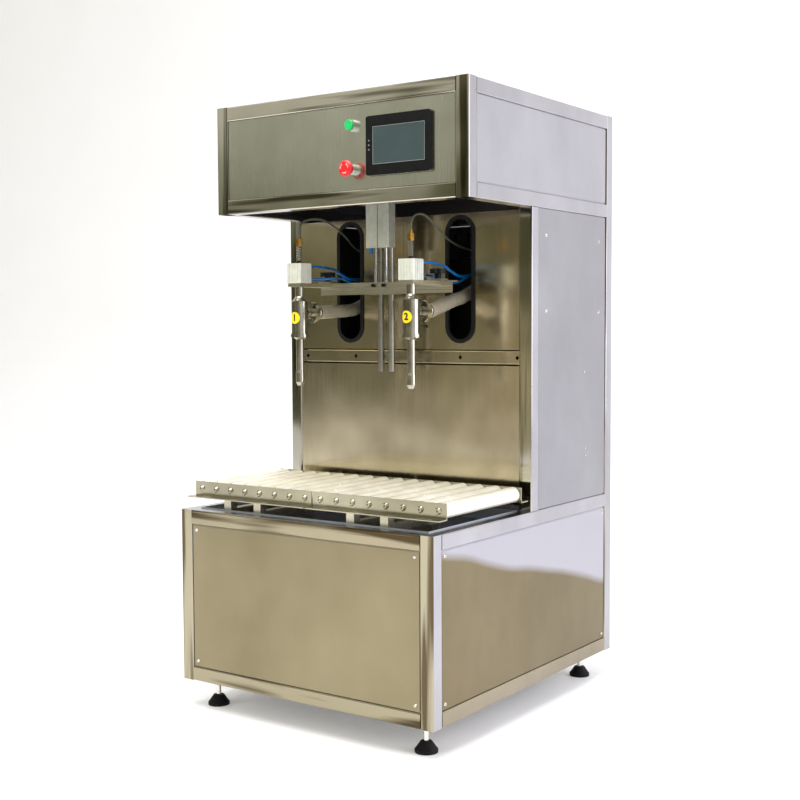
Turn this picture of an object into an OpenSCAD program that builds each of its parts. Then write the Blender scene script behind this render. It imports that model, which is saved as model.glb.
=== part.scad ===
// Two-nozzle piston liquid filler: welded square-tube stand, sheet-metal covers,
// pneumatic nozzle lift, roller weigh decks and metering cylinders in the column.
// Millimetres, +Z up, +X to the operator's right, the operator stands at -Y.
// The origin is on the floor under the middle of the footprint.

/* [Stand] */
// Width of the stand, left to right
body_w = 850; // [760:10:1100]
// Depth of the stand, front to back
body_d = 980; // [900:10:1200]
// Height of the levelling feet
foot_h = 80; // [70:1:110]
// Height of the base box, without its feet
base_h = 482; // [400:1:600]
// Clear height between the base box and the head box
bay_h = 830; // [780:1:1000]
// Height of the head box
head_h = 302; // [260:1:380]
// How far the head's front stands behind the base's front
head_setback = 165; // [120:1:200]
// How far the column's front stands behind the base's front
column_setback = 485; // [460:1:560]
// Outside width of the square tube
tube = 40; // [36:1:48]
// Wall of the square tube
tube_wall = 2; // [1.5:0.5:3]
// Radius of the tube's outer corners
tube_r = 4; // [2.5:0.5:6]

/* [Covers] */
// Thickness of the cover sheet
sheet = 2; // [1:0.5:2.5]
// Width of the seam round each cover
seam = 3; // [2:0.5:5]
// How far each cover lies behind the face of the tubes
cover_inset = 3; // [2:0.5:4]
// Diameter of the cover screws
screw_d = 5; // [4:1:6]
// Distance of the cover screws from the cover's edge
screw_edge = 16; // [12:1:24]

/* [Bay back wall] */
// Height of the wall's bottom edge above the base box
wall_foot = 60; // [50:1:120]
// Height of the wall's rail gap above the base box
rail_gap_z = 398; // [360:1:430]
// Height of the wall's rail gap
rail_gap_h = 44; // [42:1:54]
// Width of the hose slots
slot_w = 82; // [70:1:100]
// Height of a slot's lower end above the rail gap
slot_foot = 26; // [10:1:40]
// Distance of a slot's upper end below the head box
slot_top = 18; // [8:1:40]
// Width of the rubber edging round a slot
edging = 8; // [5:1:12]

/* [Roller decks] */
// Number of rollers on each deck
roller_count = 8; // [5:1:8]
// Diameter of a roller
roller_d = 42; // [34:1:50]
// Diameter of a roller's axle
axle_d = 12; // [8:1:14]
// Height of the side rails
rail_h = 42; // [38:1:56]
// Height of the rails' underside above the base box
rail_lift = 31; // [28:1:50]
// Distance of the front rail from the base's front
deck_front = 60; // [54:1:80]
// Gap between the two decks
deck_gap = 4; // [3:1:10]
// Thickness of the rail plate
rail_plate = 3; // [2:0.5:4]
// Width of the rails' foot flanges
rail_flange = 34; // [28:1:40]

/* [Nozzles] */
// Distance of each nozzle from the middle of the stand
nozzle_x = 192; // [170:1:215]
// Distance of the nozzles from the base's front
nozzle_back = 247; // [215:1:290]
// Outside diameter of the filling tube
fill_tube_d = 22; // [18:1:30]
// Length of the filling tube below its flange
fill_tube_l = 147; // [100:1:180]
// Diameter of the nozzle body
nozzle_d = 46; // [40:1:50]
// Height of the nozzle body
nozzle_l = 95; // [80:1:120]
// Width of the square air cylinder on each nozzle
actuator_w = 50; // [46:1:60]
// Height of that air cylinder
actuator_h = 56; // [48:1:70]
// Height of a nozzle tip above the roller tops
tip_clear = 268; // [220:1:320]

/* [Nozzle lift] */
// Outside width of the twin-rod lift cylinder
lift_w = 80; // [74:1:96]
// How far the lift cylinder rises into the head
lift_rise = 114; // [90:1:160]
// Diameter of its piston rods
lift_rod_d = 10; // [8:1:12]
// Distance between its piston rods
lift_pitch = 36; // [34:1:44]
// Diameter of the guide rods behind it
guide_d = 18; // [12:1:20]
// Height of the crossbar's front face
bar_h = 34; // [30:1:44]
// How far the crossbar reaches left of the middle
bar_left = 208; // [200:1:250]

/* [Metering] */
// Bore of a metering cylinder
meter_bore = 80; // [60:1:96]
// Length of a metering cylinder
meter_l = 230; // [210:1:250]
// Bore of the air cylinder that drives it
drive_bore = 72; // [60:1:80]

/* [Operator panel] */
// Width of the touch panel
hmi_w = 205; // [180:1:260]
// Height of the touch panel
hmi_h = 154; // [130:1:200]
// Diameter of the emergency stop's mushroom head
stop_d = 43; // [36:1:44]
// Diameter of the start button's collar
start_d = 33; // [26:1:34]

/* [Hidden] */
side = body_w / 2;
front = -body_d / 2;
rear = body_d / 2;
base_top = foot_h + base_h;
head_z = base_top + bay_h;
head_top = head_z + head_h;
head_front = front + head_setback;
column_front = front + column_setback;
weld = 0.2;          // hairline between welded tubes
air = 0.3;           // gap between pieces that move past each other
run = 0.05;          // radial clearance of a running fit
fit = 0.5;           // gap round the step of a cover
nozzle_y = front + nozzle_back;
foot_x = side - 69;
foot_y = rear - 70;
foot_plate = 6;
plate_w = 80;
stem_d = 14;
sides = [-1, 1];

// Bay back wall
wall_y = column_front + 4;
rail_gap_lo = base_top + rail_gap_z;
rail_gap_hi = rail_gap_lo + rail_gap_h;
slot_lo = rail_gap_hi + slot_foot;
slot_hi = head_z - slot_top;
slot_x = nozzle_x + 2;

// Roller decks
rail_z = base_top + rail_lift;
rail_top = rail_z + rail_h;
axle_z = rail_z + max(rail_h, roller_d) / 2 + 1;
roller_top = axle_z + roller_d / 2;
rail_front_y = front + deck_front;
rail_rear_y = column_front - 57;
deck_w = side - deck_gap / 2;
roller_pitch = (deck_w - 6) / (roller_count - 0.2);
roller_first = deck_gap / 2 + (deck_w - roller_pitch * (roller_count - 1)) / 2;
roller_y0 = rail_front_y + rail_plate + 2;
roller_y1 = rail_rear_y - 2;
support_shift = 20;
leg_pitch = 108;
leg_w = 25;

// Nozzles, from the tip upwards
tip_z = roller_top + tip_clear;
tip_l = 10;
flange_d = 52;
fill_top = tip_z + fill_tube_l;
nozzle_z0 = fill_top;
nozzle_z1 = nozzle_z0 + nozzle_l;
cone_l = 10;
neck_d = 24;
neck_l = 37;
plate_z = nozzle_z1 + neck_l;
plate_t = 10;
actuator_z = plate_z + plate_t;
actuator_top = actuator_z + actuator_h;
port_z = nozzle_z0 + 60;
port_out = 50;
ferrule_d = 50.5;
ferrule_t = 6.4;
hose_d = 38;
clip_l = 18;
hose_y0 = nozzle_y + port_out + 2 * ferrule_t + clip_l + 2 * air;
plunger_d = 8;

// Crossbar and lift
bar_top = actuator_z + 2;
bar_y = nozzle_y + 118;
bar_t = 4;
bar_depth = 30;
bar_right = nozzle_x + 53;
nozzle_travel = 40;      // towards the middle
nozzle_out = [bar_left - nozzle_x - 12, nozzle_travel];  // outwards, left and right
knob_y = bar_y + 12;
stud_d = 8;
lift_rod_y = bar_y + 10;
lift_d = 30;
lift_exposed = 97;
lift_z0 = bar_top + lift_exposed;
lift_z1 = head_z + lift_rise;
lift_l = lift_z1 - lift_z0;
guide_y = lift_rod_y + lift_d / 2 + guide_d / 2 + 1;
guide_z0 = rail_gap_lo - 18;
guide_z1 = head_z + tube + 22;
lift_down = 80;

// Metering unit inside the column
meter_y = column_front + 250;
meter_wall = 5;
drive_wall = 4;
deck_plate_t = 8;
rack_z = base_top + weld;
drive_z = rack_z + deck_plate_t;
drive_l = 215;
drive_cap = 30;
meter_z = drive_z + drive_l + 135;
meter_cap = 14;
meter_top = meter_z + meter_l;
valve_h = 70;
valve_w = 96;
valve_z = meter_top + meter_cap;
meter_rod_d = 20;
meter_rest = 110;
stay_d = 16;
stay_off = 56;
outlet_z = valve_z + valve_h / 2;
rear_recess = 22;
manifold_y = meter_y - 40;
manifold_z = valve_z + valve_h + 40;
manifold_h = 50;
manifold_w = 300;

// Operator panel
panel_y = head_front + cover_inset;
hmi_x = 213;
hmi_z = head_z + 150;
hmi_t = 9;
button_x = 60;
start_z = head_z + 209;
stop_z = head_z + 94;
start_l = 14;
start_cap_d = start_d - 5;

// Hose and air-line routes: offsets in X, Y and Z from each line's first point
hose_left_route = [[0, 0, 0], [0, 40, 2], [0, 85, 4], [0, 130, 6], [0, 180, 12], [0, 240, 36],
                   [1, 286, 74], [2, 316, 88], [2, 338, 88]];
hose_right_route = [[0, 0, 0], [0, 40, 8], [0, 85, 20], [0, 130, 32], [0, 180, 42], [0, 240, 62],
                    [1, 286, 80], [2, 316, 88], [2, 338, 88]];
grey_left_route = [[0, 0, 0], [0, 3, 22], [1, 18, 37], [4, 48, 46], [8, 85, 51], [12, 125, 50],
                   [18, 180, 37], [25, 243, 12], [28, 300, -22], [26, 350, -38]];
grey_right_route = [[0, 0, 0], [0, 4, 20], [-2, 22, 36], [-6, 55, 43], [-12, 90, 40], [-18, 130, 27],
                    [-26, 190, 0], [-30, 243, -20], [-30, 300, -34], [-28, 350, -40]];
blue_route = [[0, 0, 0], [0, 45, 2], [0, 115, -3], [0, 152, -16], [0, 200, -30],
              [0, 260, -24], [0, 310, 0], [0, 350, 30]];
low_route = [[0, 0, 0], [-2, 14, 0], [-12, 36, 1], [-32, 78, 4], [-34, 115, 4], [-25, 155, -3],
             [-14, 205, -12], [-4, 260, 8], [0, 320, 30], [0, 350, 40]];

// ---- Shared shapes ----

module rounded_rect(w, h, r) {
    translate([r, 0]) square([w - 2 * r, h]);
    translate([0, r]) square([w, h - 2 * r]);
    for (x = [r, w - r], y = [r, h - r])
        translate([x, y]) circle(r, $fn = 24);
}

module tube_section() {
    difference() {
        rounded_rect(tube, tube, tube_r);
        translate([tube_wall, tube_wall]) square(tube - 2 * tube_wall);
    }
}

module tube_x(x0, x1, y, z)
    translate([x0, y, z]) rotate([90, 0, 90]) linear_extrude(x1 - x0) tube_section();

module tube_y(x, y0, y1, z)
    translate([x, y1, z]) rotate([90, 0, 0]) linear_extrude(y1 - y0) tube_section();

module tube_z(x, y, z0, z1)
    translate([x, y, z0]) linear_extrude(z1 - z0) tube_section();

// A post closed by a flat plate on its upper end
module post(x, y, z0, z1) {
    tube_z(x, y, z0, z1 - tube_wall);
    translate([x, y, z1 - tube_wall]) linear_extrude(tube_wall) rounded_rect(tube, tube, tube_r);
}

module ring(od, id, h) {
    difference() {
        cylinder(d = od, h = h, $fn = 64);
        translate([0, 0, -1]) cylinder(d = id, h = h + 2, $fn = 64);
    }
}

// Upright slot with round ends, centred on the origin
module slot_shape(w, h) {
    square([w, h - w], center = true);
    for (s = sides)
        translate([0, s * (h - w) / 2]) circle(d = w, $fn = 64);
}

// Screw places in the corners of a cover of width w and height h
function corners(w, h) = [for (x = sides, y = sides)
    [x * (w / 2 - screw_edge), y * (h / 2 - screw_edge)]];

// A stepped cover: its face is in the XY plane and it faces +Z
module cover(w, h, screws) {
    difference() {
        union() {
            translate([seam - w / 2, seam - h / 2, -sheet])
                cube([w - 2 * seam, h - 2 * seam, sheet]);
            translate([fit - w / 2, fit - h / 2, -2 * sheet])
                cube([w - 2 * fit, h - 2 * fit, sheet]);
        }
        for (p = screws)
            translate([p[0], p[1], -2 * sheet - 1])
                cylinder(d = screw_d + 0.6, h = 2 * sheet + 2, $fn = 24);
    }
}

// Socket button-head screws with their clip nuts, for the same cover
module cover_fixings(screws) {
    for (p = screws)
        translate([p[0], p[1], 0]) {
            difference() {
                union() {
                    cylinder(d1 = 1.9 * screw_d, d2 = 1.3 * screw_d, h = 0.5 * screw_d, $fn = 24);
                    translate([0, 0, -2 * sheet - 6]) cylinder(d = screw_d, h = 2 * sheet + 6.5, $fn = 24);
                }
                translate([0, 0, 0.2 * screw_d]) cylinder(d = 0.6 * screw_d, h = screw_d, $fn = 6);
            }
            translate([0, 0, -2 * sheet - 5 - weld]) difference() {
                translate([-8, -7, 0]) cube([16, 14, 5]);
                translate([0, 0, -1]) cylinder(d = screw_d + 2 * run, h = 7, $fn = 24);
            }
        }
}

// Cover places: each entry is [centre, rotation, width, height, screw places]
open_w = body_w - 2 * tube;
base_open_d = body_d - 2 * tube;
base_open_h = base_h - 2 * tube;
base_mid_z = foot_h + base_h / 2;
column_open_d = body_d - column_setback - 2 * tube;
column_mid_y = column_front + tube + column_open_d / 2;
column_mid_z = base_top + bay_h / 2;
head_open_d = body_d - head_setback - 2 * tube;
head_mid_y = head_front + tube + head_open_d / 2;
head_open_h = head_h - 2 * tube;
head_mid_z = head_z + head_h / 2;
face_x = side - cover_inset;

base_places = concat(
    [[[0, front + cover_inset, base_mid_z], [90, 0, 0], open_w, base_open_h, corners(open_w, base_open_h)],
     [[0, rear - cover_inset, base_mid_z], [90, 0, 180], open_w, base_open_h, corners(open_w, base_open_h)]],
    [for (s = sides) [[s * face_x, 0, base_mid_z], [90, 0, s * 90],
        base_open_d, base_open_h, corners(base_open_d, base_open_h)]]);
column_places = concat(
    [[[0, rear - rear_recess, column_mid_z], [90, 0, 180], open_w, bay_h, corners(open_w, bay_h)]],
    [for (s = sides)
        [[s * face_x, column_mid_y, column_mid_z], [90, 0, s * 90], column_open_d, bay_h,
            [for (x = sides, z = [bay_h / 2 - 74, bay_h / 2 - 281]) [x * (column_open_d / 2 - 46), z]]]]);
// The head's front and sides are held from inside, by studs that can't be seen
head_front_place = [[0, panel_y, head_mid_z], [90, 0, 0], open_w, head_open_h, []];
head_places = concat(
    [[[0, rear - cover_inset, head_mid_z], [90, 0, 180], open_w, head_open_h, corners(open_w, head_open_h)],
     [[0, head_mid_y, head_top - cover_inset], [0, 0, 0], open_w, head_open_d, corners(open_w, head_open_d)]],
    [for (s = sides) [[s * face_x, head_mid_y, head_mid_z], [90, 0, s * 90], head_open_d, head_open_h, []]]);

module place(p) translate(p[0]) rotate(p[1]) children();

// A round line swept through a list of points, with the given number of sides
function unit(v) = v / norm(v);
function heading(pts, i) = unit(pts[min(i + 1, len(pts) - 1)] - pts[max(i - 1, 0)]);
function ring_points(p, t, d, n) = let (u = unit(cross([1, 0, 0], t)), v = cross(t, u))
    [for (k = [0:n - 1]) p + d / 2 * (cos(360 * k / n) * u + sin(360 * k / n) * v)];

module swept(pts, d, n) {
    last = len(pts) - 1;
    verts = [for (i = [0:last]) each ring_points(pts[i], heading(pts, i), d, n)];
    walls = [for (i = [0:last - 1], k = [0:n - 1], h = [0, 1])
        let (a = i * n + k, b = i * n + (k + 1) % n)
        h == 0 ? [a, a + n, b] : [b, a + n, b + n]];
    ends = [[for (k = [0:n - 1]) k], [for (k = [n - 1:-1:0]) last * n + k]];
    polyhedron(points = verts, faces = concat(walls, ends), convexity = 8);
}

// Route of a line, mirrored for the left side
function route(s, start, offsets) = [for (o = offsets) start + [s * o[0], o[1], o[2]]];

// ---- Stand ----

module base_frame() color("#b9b6a2") {
    z0 = foot_h;
    z1 = base_top - tube;
    inner = side - tube - weld;
    for (s = sides)
        translate([s < 0 ? -side : side - tube, 0, 0]) {
            post(0, front, z0, base_top);
            tube_y(0, front + tube + weld, rear - tube - weld, z0);
            tube_y(0, front + tube + weld, rear - tube - weld, z1);
        }
    for (z = [z0, z1]) {
        tube_x(-inner, inner, front, z);
        tube_x(-inner, inner, rear - tube, z);
    }
    // Cell bearer, welded under the side rails
    bearer_y = (rail_front_y + rail_rear_y) / 2 - tube / 2;
    tube_x(10 - side, side - 10, bearer_y, z1 - tube - weld);
    // Corner plates that take the stems of the feet
    corner_x = inner - plate_w / 2;
    corner_y = rear - tube - weld - plate_w / 2;
    for (x = sides, y = sides)
        difference() {
            translate([x * corner_x - plate_w / 2, y * corner_y - plate_w / 2, z0])
                cube([plate_w, plate_w, foot_plate]);
            translate([x * foot_x, y * foot_y, z0 - 1])
                cylinder(d = stem_d + 0.4, h = foot_plate + 2, $fn = 32);
        }
}

module column_frame() color("#b9b6a2") {
    for (s = sides)
        translate([s < 0 ? -side : side - tube, 0, 0]) {
            post(0, rear - tube, foot_h, head_top);
            tube_z(0, column_front, base_top + weld, head_z - weld);
        }
    inner = side - tube - weld;
    rail_mid = (rail_gap_lo + rail_gap_hi - tube) / 2;
    difference() {
        tube_x(-inner, inner, column_front + 16, rail_mid);
        for (x = [-1, -0.5, 0.5, 1])
            translate([x * (inner - 14), column_front + 15, rail_mid + tube / 2])
                rotate([-90, 0, 0]) cylinder(d = 10, h = 4, $fn = 24);
    }
}

module head_frame() color("#b9b6a2") {
    inner = side - tube - weld;
    z1 = head_top - tube;
    for (s = sides)
        translate([s < 0 ? -side : side - tube, 0, 0]) {
            post(0, head_front, head_z, head_top);
            for (z = [head_z, z1])
                tube_y(0, head_front + tube + weld, rear - tube - weld, z);
        }
    for (z = [head_z, z1]) {
        tube_x(-inner, inner, head_front, z);
        tube_x(-inner, inner, rear - tube, z);
    }
    // Cross tube that carries the lift cylinder and the guide rods
    tube_x(-inner, inner, lift_rod_y + lift_d / 2 + air, guide_z1 + weld);
    for (s = sides)
        translate([s * (side - tube - 3 - weld) - 3, lift_rod_y + lift_d / 2 + air, head_z + tube / 2])
            cube([6, tube, guide_z1 - head_z - tube / 2]);
}

module base_covers() color("#b3ad92") {
    for (p = base_places)
        place(p) cover(p[2], p[3], p[4]);
    // Lip strips round the open top
    lip_y0 = front + tube + weld;
    lip_y1 = column_front - 8;
    lip_x = side - tube - weld;
    for (x = [-lip_x, lip_x - sheet])
        translate([x, lip_y0 + sheet + weld, base_top - 30])
            cube([sheet, lip_y1 - lip_y0 - 2 * (sheet + weld), 33]);
    for (y = [lip_y0, lip_y1 - sheet])
        translate([-lip_x, y, base_top - 30]) cube([2 * lip_x, sheet, 33]);
}

module column_covers() color("#c9c8cc") {
    difference() {
        place(column_places[0]) cover(open_w, bay_h, column_places[0][4]);
        for (s = sides)
            translate([s * slot_x, rear - rear_recess - 10, outlet_z])
                rotate([-90, 0, 0]) cylinder(d = ferrule_d + 8, h = 20, $fn = 48);
        translate([0, rear - rear_recess - 10, manifold_z + manifold_h / 2])
            rotate([-90, 0, 0]) cylinder(d = 21, h = 20, $fn = 32);
        translate([-120, rear - rear_recess - 10, manifold_z + manifold_h / 2])
            rotate([-90, 0, 0]) cylinder(d = 21, h = 20, $fn = 32);
    }
    for (i = [1, 2])
        place(column_places[i]) cover(column_open_d, bay_h, column_places[i][4]);
}

module bay_slots(grow, h)
    for (s = sides)
        translate([s * slot_x, wall_y, (slot_lo + slot_hi) / 2])
            rotate([90, 0, 0]) translate([0, 0, -h / 2])
                linear_extrude(h) slot_shape(slot_w + 2 * grow, slot_hi - slot_lo + 2 * grow);

module bay_panels() color("#8f8a6c") {
    half_w = side - tube - fit;
    difference() {
        for (s = sides)
            translate([s < 0 ? -half_w : 0.5, wall_y - sheet / 2, rail_gap_hi])
                cube([half_w - 0.5, sheet, head_z - 6 - rail_gap_hi]);
        bay_slots(0, 20);
    }
    // Folded lower edge of each upper panel
    for (s = sides)
        translate([s < 0 ? -half_w : 0.5, wall_y + sheet / 2, rail_gap_hi])
            cube([half_w - 0.5, 10, sheet]);
    // Lower panel with folded upper and lower edges
    low = base_top + wall_foot;
    translate([-half_w, wall_y - sheet / 2, low]) cube([2 * half_w, sheet, rail_gap_lo - low]);
    for (z = [low, rail_gap_lo - sheet])
        translate([-half_w, wall_y + sheet / 2, z]) cube([2 * half_w, 10, sheet]);
}

module slot_edging() color("#1c1c1c")
    difference() {
        bay_slots(edging, sheet + 6);
        bay_slots(-3, sheet + 8);
        difference() {
            translate([-side, wall_y - sheet / 2 - air / 2, base_top])
                cube([body_w, sheet + air, bay_h]);
            bay_slots(-air / 2, sheet + 2);
        }
    }

module head_front_panel() color("#b3ad92")
    difference() {
        place(head_front_place) cover(open_w, head_open_h, []);
        translate([hmi_x - hmi_w / 2 + 8, panel_y - 5, hmi_z - hmi_h / 2 + 8])
            cube([hmi_w - 16, 20, hmi_h - 16]);
        for (z = [start_z, stop_z])
            translate([button_x, panel_y + 10, z]) rotate([90, 0, 0]) cylinder(d = 22.4, h = 20, $fn = 40);
    }

module head_covers() color("#c9c8cc") {
    for (p = head_places)
        place(p) cover(p[2], p[3], p[4]);
    // Floor of the head in front of the column, cut out round the lift
    inner = side - tube - 7;
    difference() {
        translate([-inner, head_front + tube + fit, head_z + tube - sheet])
            cube([2 * inner, column_front - head_front - 2 * fit, sheet]);
        translate([-lift_w / 2 - 10, lift_rod_y - lift_d / 2 - 8, head_z])
            cube([lift_w + 20, lift_d + guide_d + 26, 2 * tube]);
    }
}

module cover_screws() color("#d8d8d8") {
    for (p = concat(base_places, column_places, head_places))
        place(p) cover_fixings(p[4]);
    // Blind rivets on the right cover of the column
    for (p = [[802, 373], [810, 149], [810, 127]])
        translate([face_x, front + p[0], base_top + p[1]]) rotate([0, 90, 0])
            cylinder(d = 6, h = 1.5, $fn = 24);
    // Four small screws of the lower wall panel
    for (x = [-156, -69], z = [295, 319])
        translate([x, wall_y - sheet / 2, base_top + z]) rotate([90, 0, 0]) cylinder(d = 6, h = 2, $fn = 24);
}

module levelling_feet() color("#2b2b2b")
    for (x = sides, y = sides)
        translate([x * foot_x, y * foot_y, 0]) {
            cylinder(d = 60, h = 8, $fn = 64);
            translate([0, 0, 8]) cylinder(d1 = 58, d2 = 30, h = 20, $fn = 64);
            cylinder(d = stem_d, h = foot_h + foot_plate + 14, $fn = 32);
            translate([0, 0, foot_h - 24]) cylinder(d = 24, h = 8, $fn = 6);
            // Collar below the corner plate and lock nut above it
            translate([0, 0, foot_h - 12]) cylinder(d = 41, h = 12 - weld, $fn = 48);
            translate([0, 0, foot_h + foot_plate + weld]) cylinder(d = 24, h = 10, $fn = 6);
        }

// ---- Roller decks ----

module weigh_supports() color("#9c9a8c") {
    bearer_top = base_top - tube - weld;
    cell_z = bearer_top + weld;
    cell_h = 26;
    beam_z = cell_z + cell_h + weld;
    beam_h = 20;
    for (s = sides) {
        cx = s * (deck_gap / 2 + deck_w / 2) - support_shift;
        mid_y = (rail_front_y + rail_rear_y) / 2;
        // Load cell lying along the bearer
        translate([cx - 75, mid_y - 15, cell_z]) cube([150, 30, cell_h]);
        for (k = sides) {
            x = cx + k * leg_pitch / 2 - leg_w / 2;
            y0 = front + tube + sheet + 1;
            y1 = rail_rear_y + 4;
            translate([x, y0, beam_z]) cube([leg_w, y1 + leg_w - y0, beam_h]);
            for (y = [y0, y1])
                translate([x, y, beam_z + beam_h + weld])
                    cube([leg_w, leg_w, rail_z - beam_z - beam_h - 2 * weld]);
        }
    }
}

// Axle centres of one deck, s is -1 on the left and 1 on the right
function axle_x(s, i) = s < 0 ? -deck_gap / 2 - deck_w + roller_first - deck_gap / 2 + i * roller_pitch
                              : roller_first + i * roller_pitch;

module rail(x0, y, flip) {
    // Upright plate with a slotted foot flange that points away from the rollers
    difference() {
        union() {
            translate([x0, y, rail_z]) cube([deck_w, rail_plate, rail_h]);
            translate([x0, flip ? y + rail_plate : y - rail_flange, rail_z])
                cube([deck_w, rail_flange, rail_plate]);
        }
        for (i = [0:3])
            translate([x0 + deck_w * (i + 0.5) / 4, flip ? y + rail_plate + 20 : y - 20, rail_z - 1])
                linear_extrude(rail_plate + 2) rotate(90) slot_shape(9, 46);
    }
}

module deck(s) {
    x0 = s < 0 ? -side : deck_gap / 2;
    axles_y0 = rail_front_y - 1;
    axles_y1 = rail_rear_y + rail_plate + 1;
    difference() {
        union() {
            rail(x0, rail_front_y, false);
            rail(x0, rail_rear_y, true);
        }
        for (i = [0:roller_count - 1])
            translate([axle_x(s, i), axles_y0 - 10, axle_z]) rotate([-90, 0, 0])
                cylinder(d = axle_d + 0.2, h = axles_y1 - axles_y0 + 20, $fn = 32);
    }
    for (i = [0:roller_count - 1])
        translate([axle_x(s, i), 0, axle_z]) rotate([-90, 0, 0]) {
            translate([0, 0, axles_y0]) cylinder(d = axle_d, h = axles_y1 - axles_y0, $fn = 32);
            // Domed bolt heads with a socket
            difference() {
                translate([0, 0, axles_y0 - 5]) cylinder(d1 = axle_d, d2 = axle_d + 6, h = 6 - air, $fn = 32);
                translate([0, 0, axles_y0 - 6]) cylinder(d = axle_d / 2, h = 4, $fn = 6);
            }
            translate([0, 0, axles_y1 - 1 + air]) cylinder(d = axle_d + 6, h = 5, $fn = 32);
        }
    // Spreader bars that tie the two rails of the deck
    for (k = sides)
        translate([x0 + deck_w / 2 + k * (leg_pitch / 2) - 6, rail_front_y + rail_plate + weld, rail_z])
            cube([12, rail_rear_y - rail_front_y - rail_plate - 2 * weld, 3]);
}

module roller_deck_left() color("#a9a68f") deck(-1);
module roller_deck_right() color("#a9a68f") deck(1);

module roller(s, i) color("#dedbc8")
    translate([axle_x(s, i), roller_y0, axle_z]) rotate([-90, 0, 0]) {
        l = roller_y1 - roller_y0;
        difference() {
            cylinder(d = roller_d, h = l, $fn = 64);
            translate([0, 0, 14]) cylinder(d = roller_d - 5, h = l - 28, $fn = 48);
            translate([0, 0, -1]) cylinder(d = axle_d + 2 * run, h = l + 2, $fn = 48);
            for (z = [-1, l - 1.5])
                translate([0, 0, z]) ring(roller_d - 6, axle_d + 8, 2.5);
        }
    }

// ---- Lift ----

module lift_cylinder() color("#8f918c") {
    difference() {
        translate([-lift_w / 2, lift_rod_y - lift_d / 2, lift_z0]) cube([lift_w, lift_d, lift_l]);
        for (s = sides)
            translate([s * lift_pitch / 2, lift_rod_y, lift_z0]) {
                translate([0, 0, -1]) cylinder(d = lift_rod_d + 2 * run, h = 20, $fn = 40);
                translate([0, 0, 14]) cylinder(d = 25, h = lift_l - 24, $fn = 48);
            }
        // Sensor groove down the front
        translate([-1.5, lift_rod_y - lift_d / 2 - 1, lift_z0 - 1]) cube([3, 4, lift_l + 2]);
    }
    // Push-in elbow under the left end
    translate([-lift_w / 2 + 6, lift_rod_y, lift_z0 - 16]) cylinder(d = 11, h = 16 - weld, $fn = 24);
}

module guide_rods() color("#c8c8c4") {
    for (s = sides)
        translate([s * lift_pitch / 2, guide_y, guide_z0])
            cylinder(d = guide_d, h = guide_z1 - guide_z0, $fn = 48);
    // Foot block behind the rods, which ties them to the column's rail
    block_w = lift_pitch + guide_d + 8;
    block_y = guide_y + 2;
    translate([-block_w / 2, block_y, guide_z0 + 34]) difference() {
        cube([block_w, column_front + 16 - weld - block_y, 16]);
        for (s = sides)
            translate([block_w / 2 + s * lift_pitch / 2, guide_y - block_y, -1])
                cylinder(d = guide_d + 0.2, h = 18, $fn = 48);
    }
}

module lift_rods() color("#dcdcdc") {
    for (s = sides)
        translate([s * lift_pitch / 2, lift_rod_y, bar_top - 14]) {
            cylinder(d = lift_rod_d, h = lift_exposed + lift_down + 54, $fn = 40);
            translate([0, 0, lift_exposed + lift_down + 40]) cylinder(d = 25 - 2 * run, h = 14, $fn = 48);
        }
}

module crossbar() color("#8a866b") {
    difference() {
        union() {
            translate([-bar_left, bar_y, bar_top - bar_h]) cube([bar_left + bar_right, bar_t, bar_h]);
            translate([-bar_left, bar_y, bar_top - bar_t]) cube([bar_left + bar_right, bar_depth, bar_t]);
        }
        // Slots for the clamp studs
        for (i = [0, 1])
            translate([sides[i] * (nozzle_x + (nozzle_out[i] - nozzle_travel) / 2), knob_y,
                bar_top - bar_t - 1])
                linear_extrude(bar_t + 2) rotate(90)
                    slot_shape(stud_d + 1, nozzle_travel + nozzle_out[i] + stud_d + 3);
        // Room for the piston rods' end block and the guide block
        translate([-lift_pitch / 2 - 25, bar_y + bar_t, bar_top - bar_h])
            cube([lift_pitch + 50, 60, 2 * bar_h]);
        for (s = sides)
            translate([s * lift_pitch / 2, bar_y - 1, bar_top - 9])
                rotate([-90, 0, 0]) cylinder(d = 6.4, h = 10, $fn = 24);
    }
    // Block behind the face that takes the piston rods and runs on the guide rods
    translate([-lift_pitch / 2 - 24, bar_y + bar_t + weld / 2, bar_top - bar_h]) difference() {
        cube([lift_pitch + 48, guide_y + guide_d / 2 + 8 - bar_y - bar_t, bar_h]);
        for (s = sides)
            translate([lift_pitch / 2 + 24 + s * lift_pitch / 2, 0, 0]) {
                translate([0, guide_y - bar_y - bar_t - weld / 2, -1])
                    cylinder(d = guide_d + 2 * run, h = bar_h + 2, $fn = 48);
                translate([0, lift_rod_y - bar_y - bar_t - weld / 2, bar_h - 14])
                    cylinder(d = lift_rod_d + 0.1, h = 20, $fn = 40);
            }
    }
    // Black socket screws through the face
    for (s = sides)
        translate([s * lift_pitch / 2, bar_y - weld / 2, bar_top - 9]) rotate([90, 0, 0]) difference() {
            cylinder(d = 10, h = 6, $fn = 32);
            translate([0, 0, 3]) cylinder(d = 5, h = 4, $fn = 6);
        }
}

// ---- Nozzles ----

module nozzle_bracket(s) color("#a8a48c")
    translate([s * nozzle_x, 0, 0]) difference() {
        union() {
            translate([-22, nozzle_y - 24, plate_z]) cube([44, bar_y - air - nozzle_y + 24, plate_t]);
            translate([-22, bar_y - air - 6, plate_z]) cube([44, 6, bar_top + air + 5 - plate_z]);
            translate([-22, bar_y - air - 6, bar_top + air]) cube([44, bar_depth + 4, 5]);
        }
        translate([0, nozzle_y, plate_z - 1]) cylinder(d = plunger_d + 3, h = plate_t + 2, $fn = 32);
        translate([0, knob_y, bar_top]) cylinder(d = stud_d + 2 * run, h = 10, $fn = 32);
    }

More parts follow.
